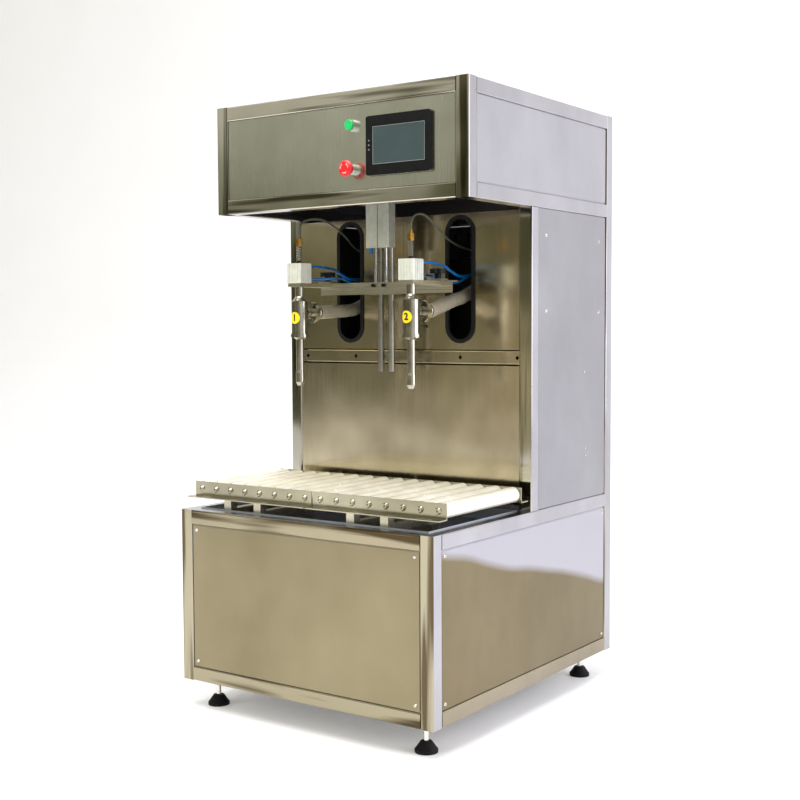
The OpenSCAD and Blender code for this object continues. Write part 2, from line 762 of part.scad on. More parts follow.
module nozzle_actuator(s) color("#d9dacf")
    translate([s * nozzle_x, nozzle_y, actuator_z]) {
        difference() {
            translate([-actuator_w / 2, -actuator_w / 2, 0]) linear_extrude(actuator_h)
                rounded_rect(actuator_w, actuator_w, 3);
            translate([0, 0, 8]) cylinder(d = 40, h = actuator_h - 16, $fn = 64);
            translate([0, 0, -1]) cylinder(d = plunger_d + 2 * run, h = 10, $fn = 32);
            // Grooves of the extruded profile
            for (a = [0:90:270], x = [-14, -5, 5, 14])
                rotate(a) translate([x - 1, -actuator_w / 2 - 1, -1]) cube([2, 2, actuator_h + 2]);
            // Through bores for the four long screws
            for (x = sides, y = sides)
                translate([x * 20, y * 20, -1]) cylinder(d = 4, h = 7, $fn = 16);
        }
        // Low collar, spring guard core, brass hexagon and barb on top
        translate([0, 0, actuator_h + weld]) cylinder(d = 18, h = 4, $fn = 40);
        translate([0, 0, actuator_h + 4 + weld]) cylinder(d = 11, h = 44, $fn = 32);
        translate([0, 0, actuator_h + 48 + weld]) cylinder(d = 20, h = 19, $fn = 6);
        translate([0, 0, actuator_h + 67 + weld]) cylinder(d1 = 10, d2 = 7.5, h = 12, $fn = 32);
        // Two push-in elbows at the back
        for (z = [12, 48])
            translate([0, actuator_w / 2 + weld, z]) rotate([-90, 0, 0]) cylinder(d = 12, h = 12, $fn = 24);
    }

// Outline of the nozzle body, turned about the vertical axis
module nozzle_profile() {
    r = nozzle_d / 2;
    rn = neck_d / 2;
    h = nozzle_l;
    polygon([[9, 0], [r, 0], [r, h - 4], [r - 3, h - 1], [rn + 2, h + cone_l - 4], [rn, h + cone_l],
        [rn, h + neck_l - weld], [plunger_d / 2 + 3, h + neck_l - weld], [plunger_d / 2 + 3, h], [16, h - 8],
        [16, 12], [9, 12]]);
}

module nozzle_body(s) color("#c9c8bd")
    translate([s * nozzle_x, nozzle_y, nozzle_z0]) {
        difference() {
            union() {
                rotate_extrude($fn = 96) nozzle_profile();
                translate([0, 20, port_z - nozzle_z0]) rotate([-90, 0, 0])
                    cylinder(d = 34, h = port_out - 20, $fn = 64);
                translate([0, port_out - ferrule_t, port_z - nozzle_z0]) rotate([-90, 0, 0])
                    cylinder(d = ferrule_d, h = ferrule_t, $fn = 64);
            }
            translate([0, 10, port_z - nozzle_z0]) rotate([-90, 0, 0])
                cylinder(d = 26, h = port_out, $fn = 64);
        }
        // Hinged clamp ring round the two port ferrules, with its wing nut below
        translate([0, port_out - ferrule_t - 2, port_z - nozzle_z0]) rotate([-90, 0, 0]) {
            difference() {
                cylinder(d = ferrule_d + 9, h = 2 * ferrule_t + 4, $fn = 64);
                translate([0, 0, -1]) cylinder(d = ferrule_d + 2 * air, h = 2 * ferrule_t + 6, $fn = 64);
            }
            translate([-14, ferrule_d / 2 + 4.2, 5]) cube([28, 6, 7]);
            translate([-21, ferrule_d / 2 + 11 - air, 7]) cube([42, 9, 3]);
        }
    }

module filling_tube(s) color("#cfcfc6")
    translate([s * nozzle_x, nozzle_y, tip_z]) {
        r = fill_tube_d / 2;
        h = fill_tube_l - 2 * air;
        flange = 9.5;
        taper = 6;
        rotate_extrude($fn = 96)
            polygon([[7, 0], [8, 0], [r + 1, tip_l], [r + 1, tip_l + 26], [r, tip_l + 32],
                [r, h - flange - taper], [18, h - flange], [flange_d / 2, h - flange],
                [flange_d / 2, h], [r - 2, h], [r - 2, tip_l + 4], [7, tip_l - 2]]);
    }

module nozzle_plunger(s) color("#e4e4e0")
    translate([s * nozzle_x, nozzle_y, tip_z]) {
        piston_z = actuator_z + 12 - tip_z;
        cylinder(r = 7 - run, h = 8, $fn = 48);
        cylinder(d = plunger_d, h = piston_z + 8, $fn = 32);
        translate([0, 0, piston_z]) cylinder(d = 40 - 2 * run, h = 12, $fn = 64);
    }

module clamp_knob(s) color("#161616")
    translate([s * nozzle_x, knob_y, bar_top + air + 5 + air]) {
        translate([0, 0, 0]) cylinder(d = 18, h = 14, $fn = 32);
        translate([0, 0, 14]) difference() {
            cylinder(d = 44, h = 13, $fn = 64);
            for (a = [0:60:300])
                rotate(a) translate([27, 0, -1]) cylinder(d = 16, h = 15, $fn = 32);
        }
        translate([0, 0, -bar_t - 18]) cylinder(d = stud_d, h = bar_t + 18, $fn = 32);
        // Square nut under the crossbar's flange
        translate([0, 0, -bar_t - 13 - 3 * air]) cylinder(d = 15, h = 6, $fn = 32);
    }

// ---- Hoses and air lines ----

module product_hose(s) color("#c9c3a6") {
    start = [s * nozzle_x, hose_y0, port_z];
    swept(route(s, start, s < 0 ? hose_left_route : hose_right_route), hose_d, 12);
    // Ferrule and crimped sleeve that enter the nozzle's clamp
    translate([s * nozzle_x, nozzle_y + port_out + air, port_z]) rotate([-90, 0, 0]) {
        cylinder(d = ferrule_d, h = ferrule_t, $fn = 64);
        cylinder(d = hose_d + 3, h = hose_y0 - nozzle_y - port_out - 2 * air, $fn = 64);
    }
}

module air_lines() color("#1f6f9c")
    for (s = sides) {
        line_y = nozzle_y + actuator_w / 2 + 13;
        swept(route(s, [s * nozzle_x, nozzle_y, actuator_top + 80.1],
            s < 0 ? grey_left_route : grey_right_route), 6, 8);
        swept(route(s, [s * nozzle_x, line_y, actuator_z + 48], blue_route), 8, 8);
        swept(route(s, [s * nozzle_x, line_y, actuator_z + 12], low_route), 8, 8);
    }

// ---- Operator panel ----

module control_fittings() color("#1d1f22") {
    // Touch panel with its screen recess
    difference() {
        translate([hmi_x - hmi_w / 2, panel_y, hmi_z - hmi_h / 2]) rotate([90, 0, 0])
            linear_extrude(hmi_t) rounded_rect(hmi_w, hmi_h, 7);
        translate([hmi_x - hmi_w / 2 + 22, panel_y - hmi_t - 1, hmi_z - hmi_h / 2 + 28])
            cube([hmi_w - 41, 3, hmi_h - 56]);
    }
    // Body of the touch panel behind the cover
    translate([hmi_x - hmi_w / 2 + 9, panel_y + weld, hmi_z - hmi_h / 2 + 9])
        cube([hmi_w - 18, 38, hmi_h - 18]);
    // Collars and contact blocks of the buttons: [height, collar, its length, its counterbore]
    for (b = [[start_z, start_d, start_l, start_cap_d + 0.4], [stop_z, 29, 16, 20]])
        translate([button_x, panel_y, b[0]]) rotate([90, 0, 0]) {
            difference() {
                union() {
                    cylinder(d = b[1], h = b[2], $fn = 64);
                    translate([0, 0, -26]) cylinder(d = 22, h = 27, $fn = 40);
                }
                translate([0, 0, -20]) cylinder(d = 18 + 2 * run, h = 60, $fn = 48);
                translate([0, 0, b[2] - 6]) cylinder(d = b[3], h = 7, $fn = 48);
            }
            translate([-15, -15, -60]) cube([30, 30, 34 - weld]);
        }
}

module start_button() color("#22b35c")
    translate([button_x, panel_y, start_z]) rotate([90, 0, 0]) {
        translate([0, 0, -10]) cylinder(d = 18, h = start_l + 9, $fn = 48);
        translate([0, 0, start_l - 1.5]) cylinder(d = start_cap_d, h = 4, $fn = 64);
        translate([0, 0, start_l + 2.5]) cylinder(d1 = start_cap_d, d2 = start_cap_d - 3, h = 2, $fn = 64);
    }

module emergency_stop() color("#d21f26")
    translate([button_x, panel_y, stop_z]) rotate([90, 0, 0]) {
        translate([0, 0, -10]) cylinder(d = 18, h = 35, $fn = 48);
        translate([0, 0, 22]) cylinder(d1 = stop_d - 12, d2 = stop_d, h = 5, $fn = 64);
        translate([0, 0, 27]) cylinder(d = stop_d, h = 5, $fn = 64);
        translate([0, 0, 32]) cylinder(d1 = stop_d, d2 = stop_d - 9, h = 5, $fn = 64);
    }

// ---- Metering unit ----

module metering_rack() color("#a3a3a0") {
    // Deck plate on the base's upper rails
    difference() {
        translate([10 - side, column_front + tube + air, rack_z])
            cube([body_w - 20, body_d - column_setback - 2 * tube - 2 * air, deck_plate_t]);
        for (s = sides)
            translate([s * slot_x, meter_y, rack_z - 1]) cylinder(d = 30, h = deck_plate_t + 2, $fn = 40);
    }
    for (s = sides)
        translate([s * slot_x, meter_y, 0]) {
            for (x = sides, y = sides)
                translate([x * stay_off, y * stay_off, drive_z + weld])
                    cylinder(d = stay_d, h = meter_z - meter_cap - drive_z - 2 * weld, $fn = 32);
            // Plate under the metering cylinder
            translate([0, 0, meter_z - meter_cap]) difference() {
                translate([-66, -66, 0]) cube([132, 132, meter_cap - weld]);
                translate([0, 0, -1]) cylinder(d = meter_rod_d + 2 * run, h = meter_cap + 2, $fn = 40);
            }
        }
}

module metering_barrels() color("#cfd2d2")
    for (s = sides)
        translate([s * slot_x, meter_y, meter_z])
            ring(meter_bore + 2 * meter_wall, meter_bore, meter_l - weld);

module metering_valves() color("#bcbcb6")
    for (s = sides)
        translate([s * slot_x, meter_y, meter_top]) {
            // Valve block with its product bore and outlet ferrule
            difference() {
                union() {
                    cylinder(d = meter_bore + 2 * meter_wall + 10, h = meter_cap, $fn = 64);
                    translate([-valve_w / 2, -valve_w / 2, meter_cap]) cube([valve_w, valve_w, valve_h]);
                    translate([0, -valve_w / 2, meter_cap + valve_h / 2]) rotate([90, 0, 0]) {
                        cylinder(d = 30, h = 20, $fn = 48);
                        translate([0, 0, 20 - ferrule_t]) cylinder(d = ferrule_d, h = ferrule_t, $fn = 64);
                    }
                }
                translate([0, 0, -1]) cylinder(d = 24, h = meter_cap + valve_h / 2 + 1, $fn = 48);
                translate([0, valve_w / 2 + 1, meter_cap + valve_h / 2]) rotate([90, 0, 0])
                    cylinder(d = 24, h = valve_w + 30, $fn = 48);
            }
            // Turning actuator of the three-way valve
            translate([0, 0, meter_cap + valve_h + weld]) cylinder(d = 60, h = 26, $fn = 48);
        }

module drive_cylinders() color("#b5b8b8")
    for (s = sides)
        translate([s * slot_x, meter_y, drive_z + weld]) {
            od = drive_bore + 2 * drive_wall;
            difference() {
                union() {
                    translate([-od / 2 - 2, -od / 2 - 2, 0]) cube([od + 4, od + 4, drive_cap]);
                    cylinder(d = od, h = drive_l, $fn = 64);
                    translate([-od / 2 - 2, -od / 2 - 2, drive_l - drive_cap])
                        cube([od + 4, od + 4, drive_cap]);
                }
                translate([0, 0, drive_cap / 2]) cylinder(d = drive_bore, h = drive_l - drive_cap, $fn = 64);
                translate([0, 0, drive_l - drive_cap])
                    cylinder(d = meter_rod_d + 2 * run, h = drive_cap + 1, $fn = 40);
            }
        }

module metering_piston(s) color("#e0e0dc")
    translate([s * slot_x, meter_y, 0]) {
        low = drive_z + drive_cap / 2 + 70;
        high = meter_z + meter_rest;
        translate([0, 0, low]) cylinder(d = drive_bore - 2 * run, h = 24, $fn = 64);
        translate([0, 0, low]) cylinder(d = meter_rod_d, h = high - low + 10, $fn = 40);
        translate([0, 0, high]) difference() {
            cylinder(d = meter_bore - 2 * run, h = 36, $fn = 64);
            for (z = [8, 24])
                translate([0, 0, z]) ring(meter_bore + 2, meter_bore - 6, 4);
        }
    }

module product_pipes() color("#c4c4bc")
    for (s = sides)
        translate([s * slot_x, meter_y + valve_w / 2 + weld, outlet_z]) rotate([-90, 0, 0]) {
            l = rear - meter_y - valve_w / 2 - weld;
            difference() {
                union() {
                    cylinder(d = 44, h = 8, $fn = 48);
                    cylinder(d = 28, h = l, $fn = 48);
                    translate([0, 0, l - ferrule_t]) cylinder(d = ferrule_d, h = ferrule_t, $fn = 64);
                }
                translate([0, 0, -1]) cylinder(d = 24, h = l + 2, $fn = 48);
            }
        }

module air_manifold() color("#70757a") {
    // Valve island above the metering valves, on two brackets from the rear wall
    translate([-manifold_w / 2, manifold_y, manifold_z]) cube([manifold_w, 40, manifold_h]);
    for (x = [-110, -66, -22, 22, 66, 110])
        translate([x - 18, manifold_y + 4, manifold_z + manifold_h + weld]) cube([36, 32, 24]);
    for (s = sides)
        translate([s * 130 - 3, manifold_y + 40 + weld, manifold_z + 5])
            cube([6, rear - rear_recess - 2 * sheet - 2 * weld - manifold_y - 40, 40]);
    // Air inlet and cable gland through the rear wall
    for (x = [0, -120])
        translate([x, rear - 2 - (x == 0 ? 0 : 2), manifold_z + manifold_h / 2]) rotate([90, 0, 0])
            difference() {
                union() {
                    cylinder(d = 26, h = rear_recess - 2 - (x == 0 ? 0 : 2) - weld, $fn = 6);
                    cylinder(d = 20, h = rear_recess + 10, $fn = 40);
                }
                translate([0, 0, -1]) cylinder(d = x == 0 ? 11.8 : 9, h = 15, $fn = 40);
            }
}

base_frame();
column_frame();
head_frame();
base_covers();
column_covers();
bay_panels();
slot_edging();
head_front_panel();
head_covers();
cover_screws();
levelling_feet();
weigh_supports();
roller_deck_left();
roller_deck_right();
lift_cylinder();
guide_rods();
lift_rods();
crossbar();
nozzle_bracket(-1);  // nozzle_bracket_left
nozzle_actuator(-1);  // nozzle_actuator_left
nozzle_body(-1);  // nozzle_body_left
filling_tube(-1);  // filling_tube_left
nozzle_plunger(-1);  // nozzle_plunger_left
clamp_knob(-1);  // clamp_knob_left
nozzle_bracket(1);  // nozzle_bracket_right
nozzle_actuator(1);  // nozzle_actuator_right
nozzle_body(1);  // nozzle_body_right
filling_tube(1);  // filling_tube_right
nozzle_plunger(1);  // nozzle_plunger_right
clamp_knob(1);  // clamp_knob_right
product_hose(-1);  // product_hose_left
product_hose(1);  // product_hose_right
air_lines();
control_fittings();
start_button();
emergency_stop();
metering_rack();
metering_barrels();
metering_valves();
drive_cylinders();
metering_piston(-1);  // metering_piston_left
metering_piston(1);  // metering_piston_right
product_pipes();
air_manifold();
roller(-1, 0);  // roller_left_1
roller(-1, 1);  // roller_left_2
roller(-1, 2);  // roller_left_3
roller(-1, 3);  // roller_left_4
roller(-1, 4);  // roller_left_5
roller(-1, 5);  // roller_left_6
roller(-1, 6);  // roller_left_7
roller(-1, 7);  // roller_left_8
roller(1, 0);  // roller_right_1
roller(1, 1);  // roller_right_2
roller(1, 2);  // roller_right_3
roller(1, 3);  // roller_right_4
roller(1, 4);  // roller_right_5
roller(1, 5);  // roller_right_6
roller(1, 6);  // roller_right_7
roller(1, 7);  // roller_right_8
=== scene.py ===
import math

import bmesh
import bpy
from mathutils import Matrix, Vector


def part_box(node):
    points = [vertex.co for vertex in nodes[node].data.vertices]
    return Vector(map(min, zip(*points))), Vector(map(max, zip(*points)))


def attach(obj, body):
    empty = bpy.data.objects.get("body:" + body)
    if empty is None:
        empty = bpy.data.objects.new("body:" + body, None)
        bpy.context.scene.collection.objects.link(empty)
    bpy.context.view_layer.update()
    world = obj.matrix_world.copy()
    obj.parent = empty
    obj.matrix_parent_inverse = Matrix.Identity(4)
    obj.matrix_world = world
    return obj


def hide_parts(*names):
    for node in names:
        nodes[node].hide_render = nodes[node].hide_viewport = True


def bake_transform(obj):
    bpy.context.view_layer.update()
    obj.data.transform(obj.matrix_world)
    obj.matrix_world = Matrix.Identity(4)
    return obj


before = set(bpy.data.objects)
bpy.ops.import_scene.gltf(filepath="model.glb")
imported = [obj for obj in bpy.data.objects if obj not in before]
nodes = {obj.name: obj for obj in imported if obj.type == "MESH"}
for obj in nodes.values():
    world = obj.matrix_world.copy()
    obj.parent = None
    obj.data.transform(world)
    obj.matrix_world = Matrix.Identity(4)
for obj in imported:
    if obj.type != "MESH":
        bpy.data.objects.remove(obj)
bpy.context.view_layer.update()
sides = {"left": -1, "right": 1}
print("stage: frame loaded")


# hex sRGB to linear RGBA
def toLinear(hexColour):
    channels = [int(hexColour[i:i + 2], 16) / 255 for i in (1, 3, 5)]
    return [c / 12.92 if c <= 0.04045 else ((c + 0.055) / 1.055) ** 2.4 for c in channels] + [1]


def addNode(tree, kind, settings=None, inputs=None, links=None):
    made = tree.nodes.new(kind)
    for key, value in (settings or {}).items():
        setattr(made, key, value)
    for key, value in (inputs or {}).items():
        made.inputs[key].default_value = value
    for key, socket in (links or {}).items():
        tree.links.new(socket, made.inputs[key])
    return made


def newMaterial(name, colour, roughness, metallic=0.0):
    made = bpy.data.materials.new(name)
    made.use_nodes = True
    shader = made.node_tree.nodes["Principled BSDF"]
    shader.inputs["Base Color"].default_value = toLinear(colour)
    shader.inputs["Roughness"].default_value = roughness
    shader.inputs["Metallic"].default_value = metallic
    return made


# a cloudy pattern over the piece's own coordinates, with the size of its cells in millimetres along X, Y and Z
def surfacePattern(tree, cellMm, detail=2.0, roughness=0.5):
    coords = addNode(tree, "ShaderNodeTexCoord")
    scaled = addNode(tree, "ShaderNodeMapping", inputs={"Scale": [1000 / mm for mm in cellMm]},
                     links={"Vector": coords.outputs["Object"]})
    return addNode(tree, "ShaderNodeTexNoise", inputs={"Scale": 1.0, "Detail": detail, "Roughness": roughness},
                   links={"Vector": scaled.outputs["Vector"]})


# noise hardly leaves this range, so it is what the patterns stretch to their full effect
patternSpread = {"From Min": 0.3, "From Max": 0.7}

# brushing lines are about 0.1 mm wide on real sheet and are drawn ten times as coarse to show at all
brushing = {"alongMm": 200, "acrossMm": 1.1111, "depth": 0.0001, "strength": 0.06, "detail": 3.0}
# handling stains and the slight waviness of thin sheet, 200 to 450 mm across
stains = {"cellMm": (322.58, 270.27, 434.78), "detail": 4.0, "roughness": 0.6}
waviness = {"cellMm": (232.56, 204.08, 270.27), "detail": 1.0}


# stainless sheet or tube brushed along the grain axis; wave is its waviness in metres
def brushedSteel(name, colour, dark, roughness, grain, wave, streak=0.05):
    made = newMaterial(name, colour, roughness, 1.0)
    tree = made.node_tree
    shader = tree.nodes["Principled BSDF"]
    lines = surfacePattern(tree, [brushing["alongMm" if axis == grain else "acrossMm"] for axis in "xyz"],
                           brushing["detail"])
    clouds = surfacePattern(tree, stains["cellMm"], stains["detail"], stains["roughness"])
    share = addNode(tree, "ShaderNodeMapRange", inputs=patternSpread, links={"Value": clouds.outputs["Fac"]})
    tone = addNode(tree, "ShaderNodeMix", {"data_type": "RGBA"}, {6: toLinear(dark), 7: toLinear(colour)},
                   {0: share.outputs["Result"]})
    tree.links.new(tone.outputs[2], shader.inputs["Base Color"])
    gloss = addNode(tree, "ShaderNodeMapRange",
                    inputs={**patternSpread, "To Min": roughness - streak / 2, "To Max": roughness + streak / 2},
                    links={"Value": lines.outputs["Fac"]})
    tree.links.new(gloss.outputs["Result"], shader.inputs["Roughness"])
    soft = surfacePattern(tree, waviness["cellMm"], waviness["detail"])
    wavy = addNode(tree, "ShaderNodeBump", inputs={"Strength": 1.0, "Distance": wave},
                   links={"Height": soft.outputs["Fac"]})
    bump = addNode(tree, "ShaderNodeBump", inputs={"Strength": brushing["strength"], "Distance": brushing["depth"]},
                   links={"Height": lines.outputs["Fac"], "Normal": wavy.outputs["Normal"]})
    tree.links.new(bump.outputs["Normal"], shader.inputs["Normal"])
    return made


# polished tube mirrors its surroundings as long streaks, some 30 mm wide; they are a painted reflection in its colour
paintedMirrorStreaks = {"alongMm": {"x": 588.24, "z": 666.67}, "acrossMm": 29.412, "from": 0.50, "to": 0.62,
                 "detail": 2.0, "roughness": 0.45, "glossChange": 0.04}


# steel tube polished along the grain axis, with long wavy dark streaks painted into its colour as a painted
# reflection
def polishedSteel(name, colour, dark, roughness, grain, wave):
    made = brushedSteel(name, colour, colour, roughness, grain, wave, paintedMirrorStreaks["glossChange"])
    tree = made.node_tree
    cellMm = [paintedMirrorStreaks["alongMm"][grain] if axis == grain else paintedMirrorStreaks["acrossMm"] for axis in "xyz"]
    streaks = surfacePattern(tree, cellMm, paintedMirrorStreaks["detail"], paintedMirrorStreaks["roughness"])
    share = addNode(tree, "ShaderNodeMapRange", links={"Value": streaks.outputs["Fac"]},
                    inputs={"From Min": paintedMirrorStreaks["from"], "From Max": paintedMirrorStreaks["to"]})
    tone = addNode(tree, "ShaderNodeMix", {"data_type": "RGBA"}, {6: toLinear(colour), 7: toLinear(dark)},
                   {0: share.outputs["Result"]})
    tree.links.new(tone.outputs[2], tree.nodes["Principled BSDF"].inputs["Base Color"])
    return made


# a surface whose tone and roughness drift over cells of cellMm; bumpDepth is in metres
def mottled(name, colour, dark, low, high, cellMm, metallic=0.0, bumpDepth=0.0):
    made = newMaterial(name, colour, (low + high) / 2, metallic)
    tree = made.node_tree
    shader = tree.nodes["Principled BSDF"]
    clouds = surfacePattern(tree, (cellMm, cellMm, cellMm), stains["detail"], stains["roughness"])
    share = addNode(tree, "ShaderNodeMapRange", inputs=patternSpread, links={"Value": clouds.outputs["Fac"]})
    tone = addNode(tree, "ShaderNodeMix", {"data_type": "RGBA"}, {6: toLinear(dark), 7: toLinear(colour)},
                   {0: share.outputs["Result"]})
    tree.links.new(tone.outputs[2], shader.inputs["Base Color"])
    gloss = addNode(tree, "ShaderNodeMapRange", inputs={**patternSpread, "To Min": low, "To Max": high},
                    links={"Value": clouds.outputs["Fac"]})
    tree.links.new(gloss.outputs["Result"], shader.inputs["Roughness"])
    if bumpDepth:
        bump = addNode(tree, "ShaderNodeBump", inputs={"Strength": 0.5, "Distance": bumpDepth},
                       links={"Height": clouds.outputs["Fac"]})
        tree.links.new(bump.outputs["Normal"], shader.inputs["Normal"])
    return made


materials = {
    # mirror-polished square tube: hard bright highlights broken by long dark streaks of painted reflection; its warm
    # tone towards the operator is a painted reflection of the warm room, and the base frame's darker copies are a
    # painted reflection of the darker room below
    "tube": polishedSteel("stainless_tube_polished", "#c2beae", "#635d4b", 0.10, "x", 0.0040),
    "post": polishedSteel("stainless_post_polished", "#c2beae", "#635d4b", 0.09, "z", 0.0050),
    "tubeLow": polishedSteel("stainless_tube_low", "#989079", "#4a3f2c", 0.13, "x", 0.0040),
    "postLow": polishedSteel("stainless_post_low", "#a29b85", "#5a4f3b", 0.12, "z", 0.0050),
    # the same tube on the other sides, painted pale and even as a painted reflection of the pale room, with a soft
    # sheen; the base's lower tubes get a darker, warmer painted shade
    "tubePale": brushedSteel("stainless_tube_pale", "#b2b1b7", "#9d9ba1", 0.22, "y", 0.0016),
    "tubeSill": brushedSteel("stainless_tube_sill", "#9c9380", "#857b66", 0.20, "y", 0.0016),
    # thin cover sheet brushed upright: broad blurred reflections that bend with the sheet; its copies differ only in
    # painted tone by where they face: warm and olive towards the operator as painted reflection of the warm room,
    # pale on the other sides, a painted shade darker on the column, and darker on the right base side under a painted
    # floor reflection
    "sheet": brushedSteel("stainless_sheet_warm", "#8f866c", "#7e755b", 0.24, "z", 0.0016, 0.02),
    "headSheet": brushedSteel("stainless_sheet_olive", "#cccdbe", "#adae9c", 0.25, "z", 0.0020),
    "sheetPale": brushedSteel("stainless_sheet_pale", "#adacb2", "#9e9da3", 0.30, "z", 0.0016),
    "sheetColumn": brushedSteel("stainless_sheet_column", "#9c9ba0", "#8e8d92", 0.30, "z", 0.0016),
    "sheetLow": brushedSteel("stainless_sheet_low", "#7d7157", "#6b6046", 0.24, "z", 0.0020, 0.02),
    # bay wall sheet, glossier and wavier: it shows the warm room as a cloudy glow, and its warm cream tone is a
    # painted reflection of that room
    "wall": brushedSteel("stainless_wall_brushed", "#dccfb2", "#b0a588", 0.17, "z", 0.0030),
    # thick laser-cut plate, flat and satin
    "plate": brushedSteel("stainless_plate_satin", "#d2ccb8", "#b0aa94", 0.28, "x", 0.0004),
    "rail": brushedSteel("stainless_rail_bright", "#bbb6a0", "#8f8a73", 0.22, "x", 0.0012),
    # the covers' folded top lip, cool and bright: a painted highlight
    "lip": brushedSteel("stainless_lip_bright", "#d6dde4", "#bcc6d0", 0.35, "x", 0.0004),
    # turned and polished stainless: tight round highlights with faint tool marks
    "turned": mottled("stainless_turned", "#b9b6a9", "#a29e8d", 0.14, 0.20, 40, 1.0),
    # drawn rod, duller than ground rod
    "rodSatin": mottled("steel_rod_satin", "#a5a296", "#8d8a7c", 0.26, 0.34, 33.333, 1.0),
    "bright": mottled("steel_ground_bright", "#dcdad4", "#c6c3ba", 0.10, 0.20, 16.667, 1.0),
    # coated roller sleeve: creamy, half metallic, nearly even
    "roller": mottled("roller_sleeve_cream", "#f7f5ea", "#e2dfce", 0.20, 0.28, 71.43, 0.5),
    # bare brass, a little tarnished
    "brass": mottled("brass_fitting", "#a9803a", "#86642a", 0.24, 0.36, 8.333, 1.0),
    # clear anodised aluminium: matt silver with a fine tooth
    "anodised": mottled("aluminium_anodised_pale", "#d9dbd0", "#c8cabd", 0.38, 0.50, 20, 0.35, 0.00003),
    "cylinder": mottled("aluminium_anodised_grey", "#bfc1b4", "#a8aa9c", 0.34, 0.46, 25, 0.5, 0.00003),
    # moulded rubber and nylon: near black, the rubber dull and the nylon with a faint sheen
    "rubber": mottled("rubber_black", "#0d0e0e", "#070808", 0.60, 0.80, 11.111, 0.0, 0.0001),
    "nylon": mottled("nylon_black", "#0b0b0c", "#060607", 0.38, 0.52, 14.286, 0.0, 0.0001),
    # moulded housing, coated screen glass and their pale printing
    "panelBlack": mottled("panel_plastic_black", "#0b0c0e", "#070809", 0.30, 0.42, 16.667),
    "screen": mottled("screen_glass_grey_teal", "#3a4848", "#303e3e", 0.26, 0.32, 166.67),
    "rim": mottled("marking_grey", "#9aa3a3", "#878f8f", 0.35, 0.45, 20),
    # bright chrome on the button collars
    "collar": mottled("collar_chromed", "#cfd0cf", "#b9bab8", 0.14, 0.24, 16.667, 1.0),
    # moulded button plastic, saturated with a soft gloss, and the print on it
    "green": mottled("button_green", "#10b85e", "#0a9a4c", 0.30, 0.40, 12.5),
    "red": mottled("button_red", "#e0141d", "#c00d16", 0.30, 0.40, 12.5),
    "white": mottled("marking_pale_pink", "#f0b0ac", "#e29d99", 0.40, 0.50, 12.5),
    # printed vinyl of the number discs
    "yellow": mottled("disc_yellow", "#f7d400", "#eac400", 0.40, 0.50, 16.667),
    "ink": mottled("marking_black", "#101010", "#070707", 0.40, 0.55, 16.667),
    # extruded air line, glossy along its length
    "blueTube": mottled("tube_polyurethane_blue", "#0d6db0", "#085794", 0.18, 0.28, 16.667),
    "greyTube": mottled("tube_nylon_grey_green", "#5d6150", "#484c3e", 0.26, 0.38, 16.667),
    # painted shade: the covers' inner faces are made dark where they are unlit
    "dark": mottled("inner_face_painted_shade", "#2c2b29", "#1f1e1d", 0.55, 0.70, 50),
    # clouded, softened PVC that lets some light through
    "hose": mottled("hose_translucent", "#b9b2a0", "#a39a84", 0.20, 0.30, 71.43, 0.0, 0.0001),
}
# black plastics and glass would glare at the usual specular level
for key in ("panelBlack", "screen", "rubber", "nylon"):
    materials[key].node_tree.nodes["Principled BSDF"].inputs["Specular IOR Level"].default_value = 0.25
hoseShader = materials["hose"].node_tree.nodes["Principled BSDF"]
hoseShader.inputs["Transmission Weight"].default_value = 0.35
hoseShader.inputs["IOR"].default_value = 1.43

# painted reflection on the right base cover: a warm floor below this wavy line and a pale room above it, painted into
# its colour; sizes in metres
paintedFloorReflection = {"colour": "#a9a8b0", "height": 0.435, "softness": 0.012, "fallToRear": 0.24, "wave": 0.06,
             "cellMm": 476.19}


# paints a reflection into the material's colour: the line's pale tone above it, the material's own tone below
def paintedReflectionAbove(material, line):
    tree = material.node_tree
    shader = tree.nodes["Principled BSDF"]
    before = shader.inputs["Base Color"].links[0].from_socket
    coords = addNode(tree, "ShaderNodeTexCoord")
    parts = addNode(tree, "ShaderNodeSeparateXYZ", links={"Vector": coords.outputs["Object"]})
    fall = addNode(tree, "ShaderNodeMath", {"operation": "MULTIPLY_ADD"}, {1: line["fallToRear"]},
                   {0: parts.outputs["Y"], 2: parts.outputs["Z"]})
    ripple = surfacePattern(tree, (line["cellMm"],) * 3)
    level = addNode(tree, "ShaderNodeMath", {"operation": "MULTIPLY_ADD"}, {1: line["wave"]},
                    {0: ripple.outputs["Fac"], 2: fall.outputs["Value"]})
    share = addNode(tree, "ShaderNodeMapRange", links={"Value": level.outputs["Value"]},
                    inputs={"From Min": line["height"] - line["softness"],
                            "From Max": line["height"] + line["softness"]})
    tone = addNode(tree, "ShaderNodeMix", {"data_type": "RGBA"}, {7: toLinear(line["colour"])},
                   {0: share.outputs["Result"], 6: before})
    tree.links.new(tone.outputs[2], shader.inputs["Base Color"])


paintedReflectionAbove(materials["sheetLow"], paintedFloorReflection)


# gives a CAD node its materials; choose(centre, normal) picks one of several by number
def coat(nodeName, *keys, choose=None):
    data = nodes[nodeName].data
    data.materials.clear()
    for key in keys:
        data.materials.append(materials[key])
    for face in data.polygons:
        face.material_index = choose(face.center, face.normal) if choose else 0


